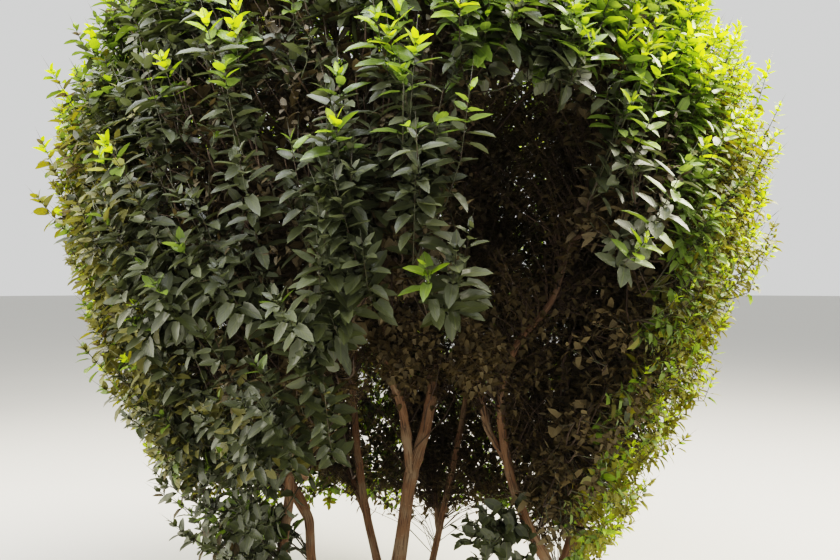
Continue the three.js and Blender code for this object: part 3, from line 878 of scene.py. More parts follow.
def grow_inner_twigs(random):
    """Thin twigs leave the limbs inside the crown and end in small old leaves, a brown haze behind the stems.

    Just over half of them lie in the front. They keep above a lowest height, which is low behind the stems
    and high in front of them, and they don't hide the stems in the bare places.
    """
    count = bpy.context.scene.privet_shoots.inner
    z = 0.24 + 0.86 * random.random(count) ** 1.3
    front = random.random(count) < 0.55
    azimuth = np.where(front, -32 + 112 * random.random(count), 80 + 248 * random.random(count))
    azimuth = (azimuth + 180) % 360 - 180
    level = np.where(front, 0.1 + 0.84 * random.random(count) ** 0.8, 0.35 + 0.4 * random.random(count))
    tip = crown_point(z, azimuth, level)
    lowest = 0.31 + 0.23 * smooth(0.03 - tip[:, 1], -0.06, 0.06) - 0.12 * smooth(tip[:, 0], 0.2, 0.3)
    lowest = np.where(tip[:, 1] > 0.25, 0.24, lowest)
    hides = (tip[:, 0] > 0.18) & (tip[:, 1] < -0.06) & (z < 0.58) & in_window(tip)
    hides |= (z > 0.5) & (level > 0.55) & in_window(tip, 0, 4)
    kept = (z > lowest) & ~hides
    tip, level = tip[kept], level[kept]
    places, radii, ways = limb_points(8)
    own = squared_distances(tip - UP * 0.12, places).argmin(1)
    start = places[own]
    gap = np.linalg.norm(tip - start, axis=1, keepdims=True)
    sway = (random.random(tip.shape) - 0.5) * gap * 0.3
    leave = start + (ways[own] * 0.5 + unit(tip - start) * 0.5) * gap * 0.4 + sway
    curves = bezier(start, leave, tip - unit(tip - start + UP * 0.1) * gap * 0.35, tip, 6)
    made = {
        "curves": curves,
        "radii": np.minimum(radii[own] * 0.3, 0.9 * MM)[:, None] * np.linspace(1, 0.5, 7),
        "mass": nearest_mass(tip),
        "outward": unit(tip - axis_at(tip[:, 2] - 0.1)),
    }
    return picked(made, gap[:, 0] < 0.34)


def grow_low_sprays(random):
    """Sparse leafy sprays leave the stems low down and rise outwards under the crown's bottom edge.

    Six in ten are on the left. On the right two in five are left out, and so is each that would hide the main
    stem.
    """
    count = bpy.context.scene.privet_shoots.low
    places, radii, ways = limb_points(8)
    left = random.random(count) < 0.6
    left_out = np.arange(count) % 5 > 2
    azimuth = np.where(left, -110 + 76 * random.random(count), 10 + 46 * random.random(count))
    level = np.where(left, 0.7 + 0.3 * random.random(count), 0.3 + 0.4 * random.random(count))
    z = 0.22 + (bottom_at(azimuth) - 0.22 + 0.04) * random.random(count)
    tip = crown_point(z, azimuth, level)
    own = squared_distances(tip - UP * 0.1, places).argmin(1)
    start = places[own]
    gap = np.linalg.norm(tip - start, axis=1, keepdims=True)
    left_out |= np.minimum(tip[:, 0], start[:, 0]) < 75 * MM
    out = unit(tip - start + UP * 0.05)
    sway = (random.random(tip.shape) - 0.5) * gap * 0.3
    leave = start + (out + 0.3 * ways[own]) * gap * 0.3 + sway
    arrive = tip - unit(out + UP * 0.5) * gap * 0.4
    made = {
        "curves": bezier(start, leave, arrive, tip, 8),
        "radii": np.minimum(radii[own] * 0.4, 1.5 * MM)[:, None] * np.linspace(1, 0.5, 9),
        "mass": nearest_mass(tip),
        "outward": unit(tip - axis_at(tip[:, 2] - 0.1)),
        "sun": np.zeros(count),
        "side": np.where(left, 0.45, 0.1),
        "thin": np.zeros(count),
        "fine": np.zeros(count),
        "leafy": np.minimum(0.16, gap[:, 0] * 0.8),
        # How many times farther apart the pairs of leaves stand than on an upright shoot
        "loose": np.where(left, 2.2, 3.6),
    }
    return picked(made, (left | ~left_out) & (gap[:, 0] < 0.3) & (gap[:, 0] > 0.05))


def at_distance(curves, distances):
    """Points and directions on curves (n, k, 3) at distances (n, q) back from their tips."""
    back = curves[:, ::-1]
    steps = np.linalg.norm(np.diff(back, axis=1), axis=-1)
    gone = np.concatenate([np.zeros((len(back), 1)), np.cumsum(steps, 1)], 1)
    span = np.clip((gone[:, None, :] <= distances[..., None]).sum(-1) - 1, 0, steps.shape[1] - 1)
    rows = np.arange(len(back))[:, None]
    part = (distances - gone[rows, span]) / np.maximum(steps[rows, span], 1e-9)
    low, high = back[rows, span], back[rows, span + 1]
    return low + (high - low) * np.clip(part, 0, 1)[..., None], unit(low - high)


# Leaves


def leaf_pattern(stations, widths, ribbed):
    """A leaf's own mesh: (along, across) of its points from 0 to 1 and -1 to 1, and its faces.

    The outline runs through the stations, half as wide as the widths say. A ribbed leaf has a point on the
    midrib at each station too, so that its halves fold up.
    """
    across = (-1, 0, 1) if ribbed else (-1, 1)
    points = [(0.0, 0.0)]
    points += [(t, s * w) for t, w in zip(stations, widths) for s in across]
    points.append((1.0, 0.0))
    n = len(across)
    row = [[1 + n * i + j for j in range(n)] for i in range(len(stations))]
    last = len(points) - 1
    triangles = [(0, row[0][j + 1], row[0][j]) for j in range(n - 1)]
    triangles += [(row[-1][j], last, row[-1][j + 1]) for j in range(n - 1)]
    quads = [
        (row[i][j], row[i + 1][j], row[i + 1][j + 1], row[i][j + 1])
        for i in range(len(stations) - 1)
        for j in range(n - 1)
    ]
    return np.array(points), np.array(triangles), np.array(quads)


# Leaves longer than 26 mm get the fine pattern, and those shorter than 19 mm or inside the crown the flat one
FINE_LEAF = leaf_pattern((0.2, 0.52, 0.83), (0.72, 1.0, 0.64), True)
SMALL_LEAF = leaf_pattern((0.3, 0.72), (0.92, 0.86), True)
FLAT_LEAF = leaf_pattern((0.3, 0.72), (0.95, 0.86), False)
FINE_LENGTH = 26 * MM
FLAT_LENGTH = 19 * MM


def leaf_meshes(leaves, pattern):
    """Leaves as one mesh. A point lies along the leaf, across it, up with the fold and down with the arch:

    root + way (length t) + across (half width s) + face (fold |s| - arch t squared).
    """
    points, triangles, quads = pattern
    t, s = points[:, 0][None, :, None], points[:, 1][None, :, None]
    long = leaves["length"][:, None, None]
    wide = leaves["width"][:, None, None] / 2
    lift = leaves["fold"][:, None, None] * wide * np.abs(s) - leaves["arch"][:, None, None] * long * t**2
    way, across, face = (leaves[key][:, None] for key in ("way", "across", "face"))
    vertices = leaves["root"][:, None] + way * long * t + across * wide * s + face * lift
    first = np.arange(len(vertices))[:, None, None] * len(points)
    faces = [(first + triangles).reshape(-1, 3), (first + quads).reshape(-1, 4)]
    uv = np.tile(np.stack([points[:, 0], 0.5 + 0.5 * points[:, 1]], -1), (len(vertices), 1))
    return vertices.reshape(-1, 3), faces, uv, np.repeat(leaves["tone"], len(points))


def set_leaves(random, node, ahead, rank, sun, scale, turn, outward):
    """Crossed pairs of leaves at nodes (n, q) of shoots, each with its way, face, size and sun value.

    A pair stands a quarter turn from the pair above it. The leaves by the tip are small and steep, and the
    lower ones full grown, spread nearly level and a little drooping. rank is a pair's count from the tip.
    """
    # Two directions square to the shoot, found from a fixed one that no shoot quite follows
    side = unit(np.cross(ahead, np.array([0.31, 0.17, 0.93])))
    third = np.cross(ahead, side)
    made = []
    for half in (0, math.pi):
        angle = turn[:, None] + rank * math.pi / 2 + half + (random.random(rank.shape) - 0.5) * 0.5
        out = side * np.cos(angle)[..., None] + third * np.sin(angle)[..., None]
        spread = np.radians(30 + 44 * smooth(rank, -0.5, 5.0) + 22 * (random.random(rank.shape) - 0.5))
        way = ahead * np.cos(spread)[..., None] + out * np.sin(spread)[..., None]
        way = unit(way - UP * 0.12 * smooth(rank, 1, 7)[..., None])
        noise = (random.random(way.shape) - 0.5) * 0.9
        face = unit(ahead * 0.7 + UP * 0.6 + outward[:, None] * 0.25 + noise)
        across = unit(np.cross(face, way))
        long = scale * (0.44 + 0.56 * smooth(rank, -0.6, 4.2)) * (0.76 + 0.42 * random.random(rank.shape))
        made.append({
            "root": node,
            "way": way,
            "across": across,
            "face": np.cross(way, across),
            "length": long,
            "width": long * bpy.context.scene.privet_leaves.width * (0.85 + 0.3 * random.random(rank.shape)),
            "fold": 0.15 + 0.45 * random.random(rank.shape),
            "arch": 0.02 + 0.32 * random.random(rank.shape),
            "tone": random.random(rank.shape),
            "sun": sun,
            "warm": random.random(rank.shape) < warmth(node),
        })
    return {
        key: np.concatenate([half[key].reshape(-1, *half[key].shape[2:]) for half in made])
        for key in made[0]
    }


def clear_of_limbs(leaves):
    """True for the leaves whose middle keeps clear of every limb."""
    routes = limb_routes().values()
    spine = np.concatenate([curve[::4] for curve, _, _ in routes])
    radius = np.concatenate([radii[::4] for _, radii, _ in routes])
    middle = leaves["root"] + leaves["way"] * leaves["length"][:, None] / 2
    # In batches, because the table of distances would take much memory at once
    batch = 8000
    clear = np.ones(len(middle), bool)
    for start in range(0, len(middle), batch):
        apart = np.sqrt(squared_distances(middle[start : start + batch], spine)) - radius
        clear[start : start + batch] = apart.min(1) > 3 * MM
    return clear


def inside_reach(leaves):
    """True for the leaves whose tip stays in the modelled solids' box, and so above the ground."""
    low, high = (np.array(corner) for corner in CAD_BOX)
    tip = leaves["root"] + leaves["way"] * leaves["length"][:, None]
    return ((tip > low) & (tip < high)).all(1)


def shoot_leaves(random, shoots):
    """The leaves of upright shoots or low sprays, closer and smaller in the sun and on the sides.

    A leaf's sun value adds the sun at its place, a young shoot's glow that fades from the tip down by a bell
    curve, and chance.
    """
    settings = bpy.context.scene.privet_shoots
    sizes = bpy.context.scene.privet_leaves
    sun, side, thin, fine, leafy = (shoots[key] for key in ("sun", "side", "thin", "fine", "leafy"))
    count, pairs = len(sun), 13
    rank = np.tile(np.arange(pairs, dtype=float), (count, 1))
    scale = sizes.front + (sizes.side - sizes.front) * side
    scale += (sizes.sunny - scale) * np.maximum(fine, 0.8 * thin)
    spray = shoots["loose"] > 1.5
    low_down = 1 - smooth(shoots["curves"][:, -1, 2], 0.46, 0.66)
    scale *= 1 - 0.26 * low_down * (1 - fine) * ~spray
    step = settings.internode * (0.35 + 0.65 * scale / sizes.front) * shoots["loose"]
    gap = step[:, None] * (0.22 + 0.78 * smooth(rank, -0.5, 4))
    distance = np.cumsum(gap, 1) - gap[:, :1] * 0.7
    node, ahead = at_distance(shoots["curves"], distance)
    tip = shoots["curves"][:, -1]
    azimuth = azimuth_of(tip)
    # High up, less so on the left, and in the sun most shoots end in bright young leaves
    bright = 0.04 + 0.9 * smooth(tip[:, 2], 0.84, 1.0) * (0.3 + 0.7 * smooth(azimuth, -46, -6))
    bright = np.maximum(bright, 0.75 * sun) * (1 - thin)
    young = np.where(random.random(count) < bright, 0.65 + 0.6 * random.random(count), 0.1)
    mood = (random.random(count) - 0.5) * 0.34 + 0.16 * smooth(-azimuth, 30, 70)
    fading = np.exp(-((rank / 3.4) ** 2))
    value = 0.66 * sun[:, None] + young[:, None] * fading + mood[:, None]
    value += (random.random(rank.shape) - 0.5) * 0.16
    old = np.maximum(0.8 * (thin > 0.5), 0.08 * smooth(-azimuth, 45, 75))
    value = np.where(random.random(rank.shape) < old[:, None], DULL, value)
    turn = random.random(count) * math.pi
    leaves = set_leaves(random, node, ahead, rank, value, scale[:, None], turn, shoots["outward"])
    kept = np.tile((distance < leafy[:, None]).ravel(), 2) & (random.random(leaves["length"].shape) < 0.95)
    # The leaves of a low spray may hang in a bare place, and those of an upright shoot keep out of it
    upright = np.tile(np.repeat(~spray, pairs), 2)
    kept &= ~(upright & in_window(leaves["root"], random.normal(0, 1.5, kept.shape), 2, 22))
    kept &= ~in_hollow(leaves["root"], random.normal(0, 0.08, kept.shape))
    leaves["warm"] &= upright
    # Leaves are rounder on the left flank and on the low sprays
    around, height = azimuth_of(leaves["root"]), leaves["root"][:, 2]
    leaves["width"] *= 1 + 0.28 * np.maximum(smooth(-around, 34, 70), ~upright)
    # Painted shade: leaves low in the front and on the low sprays are darkened
    front = np.maximum(smooth(around, -66, -44) * (1 - smooth(around, 20, 40)), ~upright)
    leaves["tone"] *= 1 - 0.7 * (1 - smooth(height, 0.48, 0.66)) * front
    return picked(leaves, kept)


def spur_leaves(random, spurs):
    """The spurs' leaves: three pairs each, dull deep in the shell, with painted shade high in the front."""
    sizes = bpy.context.scene.privet_leaves
    rank = np.tile(np.arange(3, dtype=float), (len(spurs["curves"]), 1))
    distance = np.tile(np.array([2.0, 13.0, 27.0]) * MM, (len(rank), 1))
    node, ahead = at_distance(spurs["curves"], distance)
    value = np.clip(spurs["sun"], -1, 0.7)[:, None] + (random.random(rank.shape) - 0.5) * 0.3
    left = azimuth_of(spurs["curves"][:, -1]) < -45
    dull = (spurs["thin"] > 0.4) | (spurs["depth"] > 0.1) & ~left
    value = np.where(dull[:, None], DULL, value)
    turn = random.random(len(rank)) * math.pi
    scale = sizes.inner + (sizes.old - sizes.inner) * spurs["thin"][:, None] + np.zeros(rank.shape)
    leaves = set_leaves(random, node, ahead, rank + 2, value, scale, turn, spurs["outward"])
    # Painted shade darkens the dull leaves high up in the front
    front = 1 - smooth(azimuth_of(leaves["root"]), 26, 40)
    high = smooth(leaves["root"][:, 2], 0.55, 0.75)
    leaves["tone"] *= 1 - 0.75 * front * (leaves["sun"] < DULL_BOUND) * high
    return picked(leaves, random.random(leaves["length"].shape) < 0.9)


def inner_leaves(random, twigs):
    """Small old leaves of the thin twigs inside the crown: seven sparse pairs each, painted shade high up."""
    sizes = bpy.context.scene.privet_leaves
    rank = np.tile(np.arange(7, dtype=float), (len(twigs["curves"]), 1))
    distance = np.tile(np.array([2.0, 13.0, 26.0, 40.0, 55.0, 72.0, 90.0]) * MM, (len(rank), 1))
    node, ahead = at_distance(twigs["curves"], distance)
    turn = random.random(len(rank)) * math.pi
    dull = np.full(rank.shape, DULL)
    scale = np.full(rank.shape, sizes.old)
    leaves = set_leaves(random, node, ahead, rank + 2, dull, scale, turn, twigs["outward"])
    # Painted shade darkens these leaves high up in the crown
    leaves["tone"] *= 1 - 0.75 * smooth(leaves["root"][:, 2], 0.55, 0.75)
    return picked(leaves, random.random(leaves["length"].shape) < 0.85)


# Materials


def add(tree, kind, settings=None, links=None):
    """One node with its settings and inputs. A socket given as an input is linked, and a value is set."""
    made = tree.nodes.new(kind)
    for name, value in (settings or {}).items():
        setattr(made, name, value)
    for name, value in (links or {}).items():
        if isinstance(value, bpy.types.NodeSocket):
            tree.links.new(value, made.inputs[name])
        else:
            made.inputs[name].default_value = value
    return made


def new_material(name):
    """An empty node material and its tree."""
    material = bpy.data.materials.new(name)
    material.use_nodes = True
    material.node_tree.nodes.clear()
    return material, material.node_tree


# A blend of two colours takes the factor at 0 and the colours at 6 and 7, and gives its colour at 2. A soft
# range takes the value at 0 and its range at 1 and 2, and gives 0 to 1, or the range at 3 and 4
BLEND = ("ShaderNodeMix", {"data_type": "RGBA"})
SOFT_RANGE = ("ShaderNodeMapRange", {"interpolation_type": "SMOOTHSTEP"})


def bark_material():
    """Privet bark: thin and dry, brown with a red tinge and grey patches, drawn into fine lengthwise ridges.

    It gives the eye soft, matt streaks along each stem, darker in the furrows. Painted shade darkens the
    bark up inside the crown, for the deep shade there.
    """
    colours = bpy.context.scene.privet_bark
    brown, grey, dark = tuple(colours.brown), tuple(colours.grey), tuple(colours.dark)
    material, tree = new_material("privet_bark")
    uv = add(tree, "ShaderNodeUVMap", {"uv_map": "surface"}).outputs[0]
    place = add(tree, "ShaderNodeTexCoord").outputs["Object"]
    # Ridges 3 mm wide and some 40 mm long, patches of 35 mm and pores 9 mm apart
    stretched = add(tree, "ShaderNodeMapping", None, {"Vector": uv, "Scale": (1 / 0.003, 1 / 0.04, 1)})
    ridges = add(tree, "ShaderNodeTexNoise", None, {
        "Vector": stretched.outputs[0], "Scale": 1.0, "Detail": 4.0,
    })
    patches = add(tree, "ShaderNodeTexNoise", None, {"Vector": place, "Scale": 1 / 0.035, "Detail": 3.0})
    spots = add(tree, "ShaderNodeTexVoronoi", None, {"Vector": place, "Scale": 1 / 0.009})
    patchy = add(tree, *SOFT_RANGE, {0: patches.outputs[0], 1: 0.4, 2: 0.66})
    base = add(tree, *BLEND, {0: patchy.outputs[0], 6: brown, 7: grey})
    furrows = add(tree, *SOFT_RANGE, {0: ridges.outputs[0], 1: 0.52, 2: 0.34})
    furrowed = add(tree, *BLEND, {0: furrows.outputs[0], 6: base.outputs[2], 7: dark})
    pores = add(tree, *SOFT_RANGE, {0: spots.outputs["Distance"], 1: 0.22, 2: 0.12, 3: 0.0, 4: 0.45})
    spotted = add(tree, *BLEND, {0: pores.outputs[0], 6: furrowed.outputs[2], 7: scaled(grey, 1.35)})
    # Painted shade: the bark darkens towards the furrow colour between 0.5 and 0.72 m above the ground
    parts = add(tree, "ShaderNodeSeparateXYZ", None, {0: place})
    height = add(tree, *SOFT_RANGE, {0: parts.outputs["Z"], 1: 0.5, 2: 0.72, 3: 0.0, 4: 0.72})
    final = add(tree, *BLEND, {0: height.outputs[0], 6: spotted.outputs[2], 7: dark})
    bump = add(tree, "ShaderNodeBump", None, {
        "Strength": 0.6, "Distance": 0.0015, "Height": ridges.outputs[0],
    })
    rough = add(tree, *SOFT_RANGE, {0: ridges.outputs[0], 1: 0.3, 2: 0.7, 3: 0.92, 4: 0.74})
    shader = add(tree, "ShaderNodeBsdfPrincipled", None, {
        "Base Color": final.outputs[2], "Roughness": rough.outputs[0], "IOR": 1.45, "Normal": bump.outputs[0],
    })
    add(tree, "ShaderNodeOutputMaterial", None, {"Surface": shader.outputs[0]})
    return material


def twig_material(name, main, pale, roughness):
    """Twig bark or the skin of a young shoot: smooth, with streaks some 20 mm long."""
    material, tree = new_material(name)
    place = add(tree, "ShaderNodeTexCoord").outputs["Object"]
    stretched = add(tree, "ShaderNodeMapping", None, {
        "Vector": place, "Scale": (1 / 0.008, 1 / 0.008, 1 / 0.02),
    })
    streaks = add(tree, "ShaderNodeTexNoise", None, {
        "Vector": stretched.outputs[0], "Scale": 1.0, "Detail": 2.0,
    })
    streaky = add(tree, *SOFT_RANGE, {0: streaks.outputs[0], 1: 0.35, 2: 0.65})
    final = add(tree, *BLEND, {0: streaky.outputs[0], 6: main, 7: pale})
    bump = add(tree, "ShaderNodeBump", None, {
        "Strength": 0.4, "Distance": 0.0006, "Height": streaks.outputs[0],
    })
    shader = add(tree, "ShaderNodeBsdfPrincipled", None, {
        "Base Color": final.outputs[2], "Roughness": roughness, "IOR": 1.45, "Normal": bump.outputs[0],
    })
    add(tree, "ShaderNodeOutputMaterial", None, {"Surface": shader.outputs[0]})
    return material


def leaf_material(name, main, glow, through, roughness, darkest):
    """Privet leaf: a thin waxed blade with a paler midrib and faint side veins.

    The wax gives a satin sheen, each leaf has a brightness of its own from the darkest to the brightest,
    lowered in places by painted shade, and light from behind shows through it.
    """
    material, tree = new_material(name)
    uv = add(tree, "ShaderNodeUVMap", {"uv_map": "surface"}).outputs[0]
    parts = add(tree, "ShaderNodeSeparateXYZ", None, {0: uv})
    # Each leaf's own brightness from the darkest to the brightest, lowered in places by painted shade
    tone = add(tree, "ShaderNodeAttribute", {"attribute_name": "tone"}).outputs["Fac"]
    toned = add(tree, *BLEND, {0: tone, 6: scaled(main, darkest), 7: scaled(main, BRIGHTEST)})
    # Distance from the midrib as a share of the leaf's width
    across = add(tree, "ShaderNodeMath", {"operation": "SUBTRACT"}, {0: parts.outputs["Y"], 1: 0.5})
    off_rib = add(tree, "ShaderNodeMath", {"operation": "ABSOLUTE"}, {0: across.outputs[0]}).outputs[0]
    # Side veins leave the midrib forwards, six to a leaf
    forward = add(tree, "ShaderNodeMath", {"operation": "MULTIPLY_ADD"}, {
        0: off_rib, 1: -0.9, 2: parts.outputs["X"],
    })
    turns = add(tree, "ShaderNodeMath", {"operation": "MULTIPLY"}, {0: forward.outputs[0], 1: 38.0})
    veins = add(tree, "ShaderNodeMath", {"operation": "SINE"}, {0: turns.outputs[0]})
    veined = add(tree, *SOFT_RANGE, {0: veins.outputs[0], 1: 0.2, 2: 1.0, 3: 0.0, 4: 0.06})
    rib = add(tree, *SOFT_RANGE, {0: off_rib, 1: 0.06, 2: 0.01, 3: 0.0, 4: 0.5})
    blade = add(tree, *BLEND, {0: veined.outputs[0], 6: toned.outputs[2], 7: scaled(main, 1.35)})
    final = add(tree, *BLEND, {0: rib.outputs[0], 6: blade.outputs[2], 7: glow})
    bump = add(tree, "ShaderNodeBump", {"invert": True}, {
        "Strength": 0.12, "Distance": 0.0005, "Height": veins.outputs[0],
    })
    shader = add(tree, "ShaderNodeBsdfPrincipled", None, {
        "Base Color": final.outputs[2], "Roughness": roughness, "IOR": 1.45, "Normal": bump.outputs[0],
    })
    lit = add(tree, *BLEND, {0: tone, 6: scaled(glow, 0.8), 7: scaled(glow, 1.15)})
    behind = add(tree, "ShaderNodeBsdfTranslucent", None, {"Color": lit.outputs[2]})
    both = add(tree, "ShaderNodeMixShader", None, {0: through, 1: shader.outputs[0], 2: behind.outputs[0]})
    add(tree, "ShaderNodeOutputMaterial", None, {"Surface": both.outputs[0]})
    return material


def plain_material(name, main, roughness):
    """Painted plaster: matt, with a faint unevenness."""
    material, tree = new_material(name)
    place = add(tree, "ShaderNodeTexCoord").outputs["Object"]
    cloud = add(tree, "ShaderNodeTexNoise", None, {"Vector": place, "Scale": 1.5, "Detail": 2.0})
    final = add(tree, *BLEND, {0: cloud.outputs[0], 6: scaled(main, 0.98), 7: scaled(main, 1.02)})
    shader = add(tree, "ShaderNodeBsdfPrincipled", None, {
        "Base Color": final.outputs[2], "Roughness": roughness,
    })
    add(tree, "ShaderNodeOutputMaterial", None, {"Surface": shader.outputs[0]})
    return material


# The pieces


def bark_relief(radii, sides, reach, seed):
    """Bark relief as a share of the radius: ridges that run lengthwise and wander, and a few swollen knots.

    Ridges are cosines of 3, 5 and 8 times the angle, whose phases drift along the limb. A knot is a
    bell-shaped swelling.
    """
    random = np.random.default_rng(seed)
    angle = np.linspace(0, 2 * math.pi, sides, endpoint=False)
    along_it = np.linspace(0, 1, len(radii))
    depth = bpy.context.scene.privet_limbs.ridge
    relief = np.zeros((len(radii), sides))
    for folds, weight in ((3, 0.8), (5, 0.6), (8, 0.5)):
        drift = np.cumsum(random.normal(0, 0.09, len(radii))) + random.random() * 6
        strength = 0.6 + 0.4 * np.sin(along_it * reach * 22 + random.random() * 6)
        relief += depth * weight * strength[:, None] * np.cos(folds * angle + drift[:, None])
    for _ in range(int(reach / 0.07)):
        where, facing = 0.05 + 0.9 * random.random(), random.random() * 2 * math.pi
        off = np.angle(np.exp(1j * (angle - facing)))
        bell = np.exp(-(((along_it - where) * reach / 0.012) ** 2))
        relief += 0.22 * bell[:, None] * np.exp(-((off / 0.7) ** 2))
    return relief


def bark_limb(name, curve, radii, sides, material, seed):
    """A limb's skin with its bark relief, in rings along its curve, in place of the solid of that name."""
    limbs = bpy.context.scene.privet_limbs
    reach = np.linalg.norm(np.diff(curve, axis=0), axis=1).sum()
    rings = int(reach / limbs.ring) + 2
    points = along(curve, rings)
    thick = np.interp(np.linspace(0, 1, rings), np.linspace(0, 1, len(radii)), radii)
    relief = bark_relief(thick, sides, reach, seed)
    vertices, faces, uv = tubes(points[None], thick[None], sides, relief[None])
    vertices[:, 2] = np.maximum(vertices[:, 2], 0)
    made = new_piece(name, vertices, faces, material, uv)
    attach(made, "root")
    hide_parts(name.removesuffix("_bark"))
    return made


def stool_height(p):
    """Height of the stool's top at level points: the highest of a low dome and six rounded arms, blended.

    The blend is softness times the logarithm of the sum of exp(height / softness), less half the softness.
    """
    limbs = bpy.context.scene.privet_limbs
    heights = [np.sqrt(np.maximum(0, limbs.stool_radius**2 - ((p - HUB) ** 2).sum(-1))) * 0.7 - SUNK]
    for (x, y), *_ in STEMS.values():
        arm = np.array([x, y]) * MM - HUB
        t = np.clip(((p - HUB) @ arm) / (arm @ arm), 0, 1)
        radius = limbs.stool_arm + (limbs.stool_arm_end - limbs.stool_arm) * t
        off = np.linalg.norm(p - HUB - t[..., None] * arm, axis=-1)
        heights.append(np.sqrt(np.maximum(0, radius**2 - off**2)) - SUNK)
    softness = 6 * MM
    return softness * np.log(sum(np.exp(h / softness) for h in heights)) - softness * 0.5


def soft_light(context, name, place, aim, size, power, tint):
    """A square soft light at a place, turned towards a point."""
    light = bpy.data.lights.new(name, "AREA")
    light.size = size
    light.energy = power
    light.color = linear(tint)[:3]
    made = bpy.data.objects.new(name, light)
    z = unit(np.subtract(place, aim))
    x = unit(np.cross(UP, z))
    turn = np.stack([x, np.cross(z, x), z], -1)
    made.matrix_world = Matrix([[*turn[i], place[i]] for i in range(3)] + [[0, 0, 0, 1]])
    context.scene.collection.objects.link(made)
    return made


class PRIVET_OT_stage(Operator):
    """Sets up the floor, the room light, the soft lights and the camera"""

    bl_idname = "privet.stage"
    bl_label = "Stage"

    def execute(self, context):
        studio = context.scene.privet_studio
        # The floor is a disc of rings, 40 m in radius
        radii = np.array([1.0, 3.0, 9.0, 40.0])
        around = 96
        angle = np.linspace(0, 2 * math.pi, around, endpoint=False)
        flat = np.stack([np.outer(radii, np.cos(angle)), np.outer(radii, np.sin(angle))], -1).reshape(-1, 2)
        rings = np.concatenate([flat, np.zeros((len(flat), 1))], 1)
        quads, first = between_rings(len(radii), around)
        floor = new_piece(
            "floor", rings, [quads, first[None]], plain_material("pale_plaster", studio.floor, 0.8),
        )
        world = bpy.data.worlds.new("room")
        context.scene.world = world
        world.use_nodes = True
        world.node_tree.nodes["Background"].inputs[0].default_value = tuple(studio.wall)
        world.node_tree.nodes["Background"].inputs[1].default_value = studio.room
        # Each light's place, the point that it faces, and its size in metres
        soft_light(context, "back_light", (2.3, 0.2, 3.2), (0.1, 0.0, 0.9), 1.5, studio.sun, "#fff6e6")
        soft_light(context, "top_light", (-0.25, -0.6, 2.55), (0.0, 0.0, 0.9), 1.6, studio.sky, "#f4f6ff")
        soft_light(context, "rim_light", (-2.4, 1.3, 1.9), (0.0, 0.0, 0.8), 1.4, studio.rim, "#fff2da")
        soft_light(context, "front_light", (-3.1, -0.9, 1.5), (0.0, 0.0, 0.8), 2.6, studio.fill, "#f8f4e6")
        lens = bpy.data.cameras.new("camera")
        lens.lens = studio.lens
        lens.sensor_width = 36
        camera = bpy.data.objects.new("camera", lens)
        camera.location = (studio.camera_x, studio.camera_y, studio.camera_z)
        camera.rotation_euler = (math.pi / 2, 0, 0)
        context.scene.collection.objects.link(camera)
        context.scene.camera = camera
        context.scene.view_settings.view_transform = "Filmic"
        context.scene.view_settings.look = "Medium High Contrast"
        return {"FINISHED"}


class PRIVET_OT_stool(Operator):
    """Builds the low woody stool that joins the stems' feet at the ground"""

    bl_idname = "privet.stool"
    bl_label = "Stool"

    def execute(self, context):
        around, outwards = 264, 26
        angle = np.linspace(0, 2 * math.pi, around, endpoint=False)
        way = np.stack([np.cos(angle), np.sin(angle)], -1)
        rays = np.linspace(0.02, 0.4, 400)
        # The edge lies where each ray from the hub last finds height, evened out over three rays
        over = stool_height(HUB + way[:, None] * rays[:, None]) > 0
        edge = rays[over.shape[1] - 1 - over[:, ::-1].argmax(1)]
        edge = np.convolve(np.tile(edge, 3), np.ones(3) / 3, "same")[around : 2 * around]
        part = np.linspace(0, 1, outwards)[1:] ** 0.9
        flat = HUB + way[None] * (edge * part[:, None])[..., None]
        # Coarse and fine waves make the top uneven
        coarse, fine = np.cos(9 * angle + 40 * flat[..., 0]), np.cos(23 * angle + 90 * flat[..., 1])
        height = np.maximum(0, stool_height(flat)) * (1 + 0.1 * coarse + 0.06 * fine)
        height[-1] = 0
        rings = np.concatenate([flat, height[..., None]], -1).reshape(-1, 3)
        top = np.array([[*HUB, float(stool_height(HUB))]])
        vertices = np.concatenate([rings, top])
        quads, first = between_rings(len(part), around)
        fan = np.stack([first, (first + 1) % around, np.full(around, len(rings))], -1)
        under = (len(part) - 1) * around + first[::-1]
        made = new_piece("stool_bark", vertices, [quads, fan, under[None]], bark_material(), vertices[:, :2])
        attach(made, "root")
        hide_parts("stool")
        return {"FINISHED"}


class PRIVET_OT_stems(Operator):
    """Builds the six stems that rise from the ground, with their bark"""

    bl_idname = "privet.stems"
    bl_label = "Stems"

    def execute(self, context):
        material = bark_material()
        routes = limb_routes()
        for seed, name in enumerate(STEMS):
            curve, radii, _ = routes[name]
            bark_limb(f"{name}_bark", curve, radii, 32, material, seed)
        return {"FINISHED"}


class PRIVET_OT_boughs(Operator):
    """Builds the thirteen boughs, each one tapering limb, with their bark"""

    bl_idname = "privet.boughs"
    bl_label = "Boughs"

    def execute(self, context):
        material = bark_material()
        routes = limb_routes()
        for seed, name in enumerate(BOUGHS):
            curve, radii, _ = routes[name]
            bark_limb(f"{name}_bark", curve, radii, 20, material, 50 + seed)
        return {"FINISHED"}


def foliage_piece(name, ring, mesh, material, tone=None):
    """A joined piece of one ring of masses, which it stands for."""
    vertices, faces, uv = mesh
    made = new_piece(name, vertices, faces, material, uv, tone)
    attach(made, "root")
    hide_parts(*[mass for mass in mass_centres() if ring_of(mass) == ring])
    return made


def grown_crown():
    """The whole growth by kind, always grown in the same order, after the random stream that made it."""
    random = np.random.default_rng(bpy.context.scene.privet_shoots.seed)
    curves, radii, nodes, masses = grow_branchlets(random)
    branchlets = {"curves": curves, "radii": radii, "mass": masses}
    curves, radii, nodes, masses = grow_twigs(random, nodes, masses)
    return random, {
        "branchlets": branchlets,
        "twigs": {"curves": curves, "radii": radii, "mass": masses},
        "shoots": grow_shoots(random, nodes, masses),
        "spurs": grow_spurs(random, nodes, masses),
        "bare": grow_bare_twigs(random),
        "inner": grow_inner_twigs(random),
        "low": grow_low_sprays(random),
    }


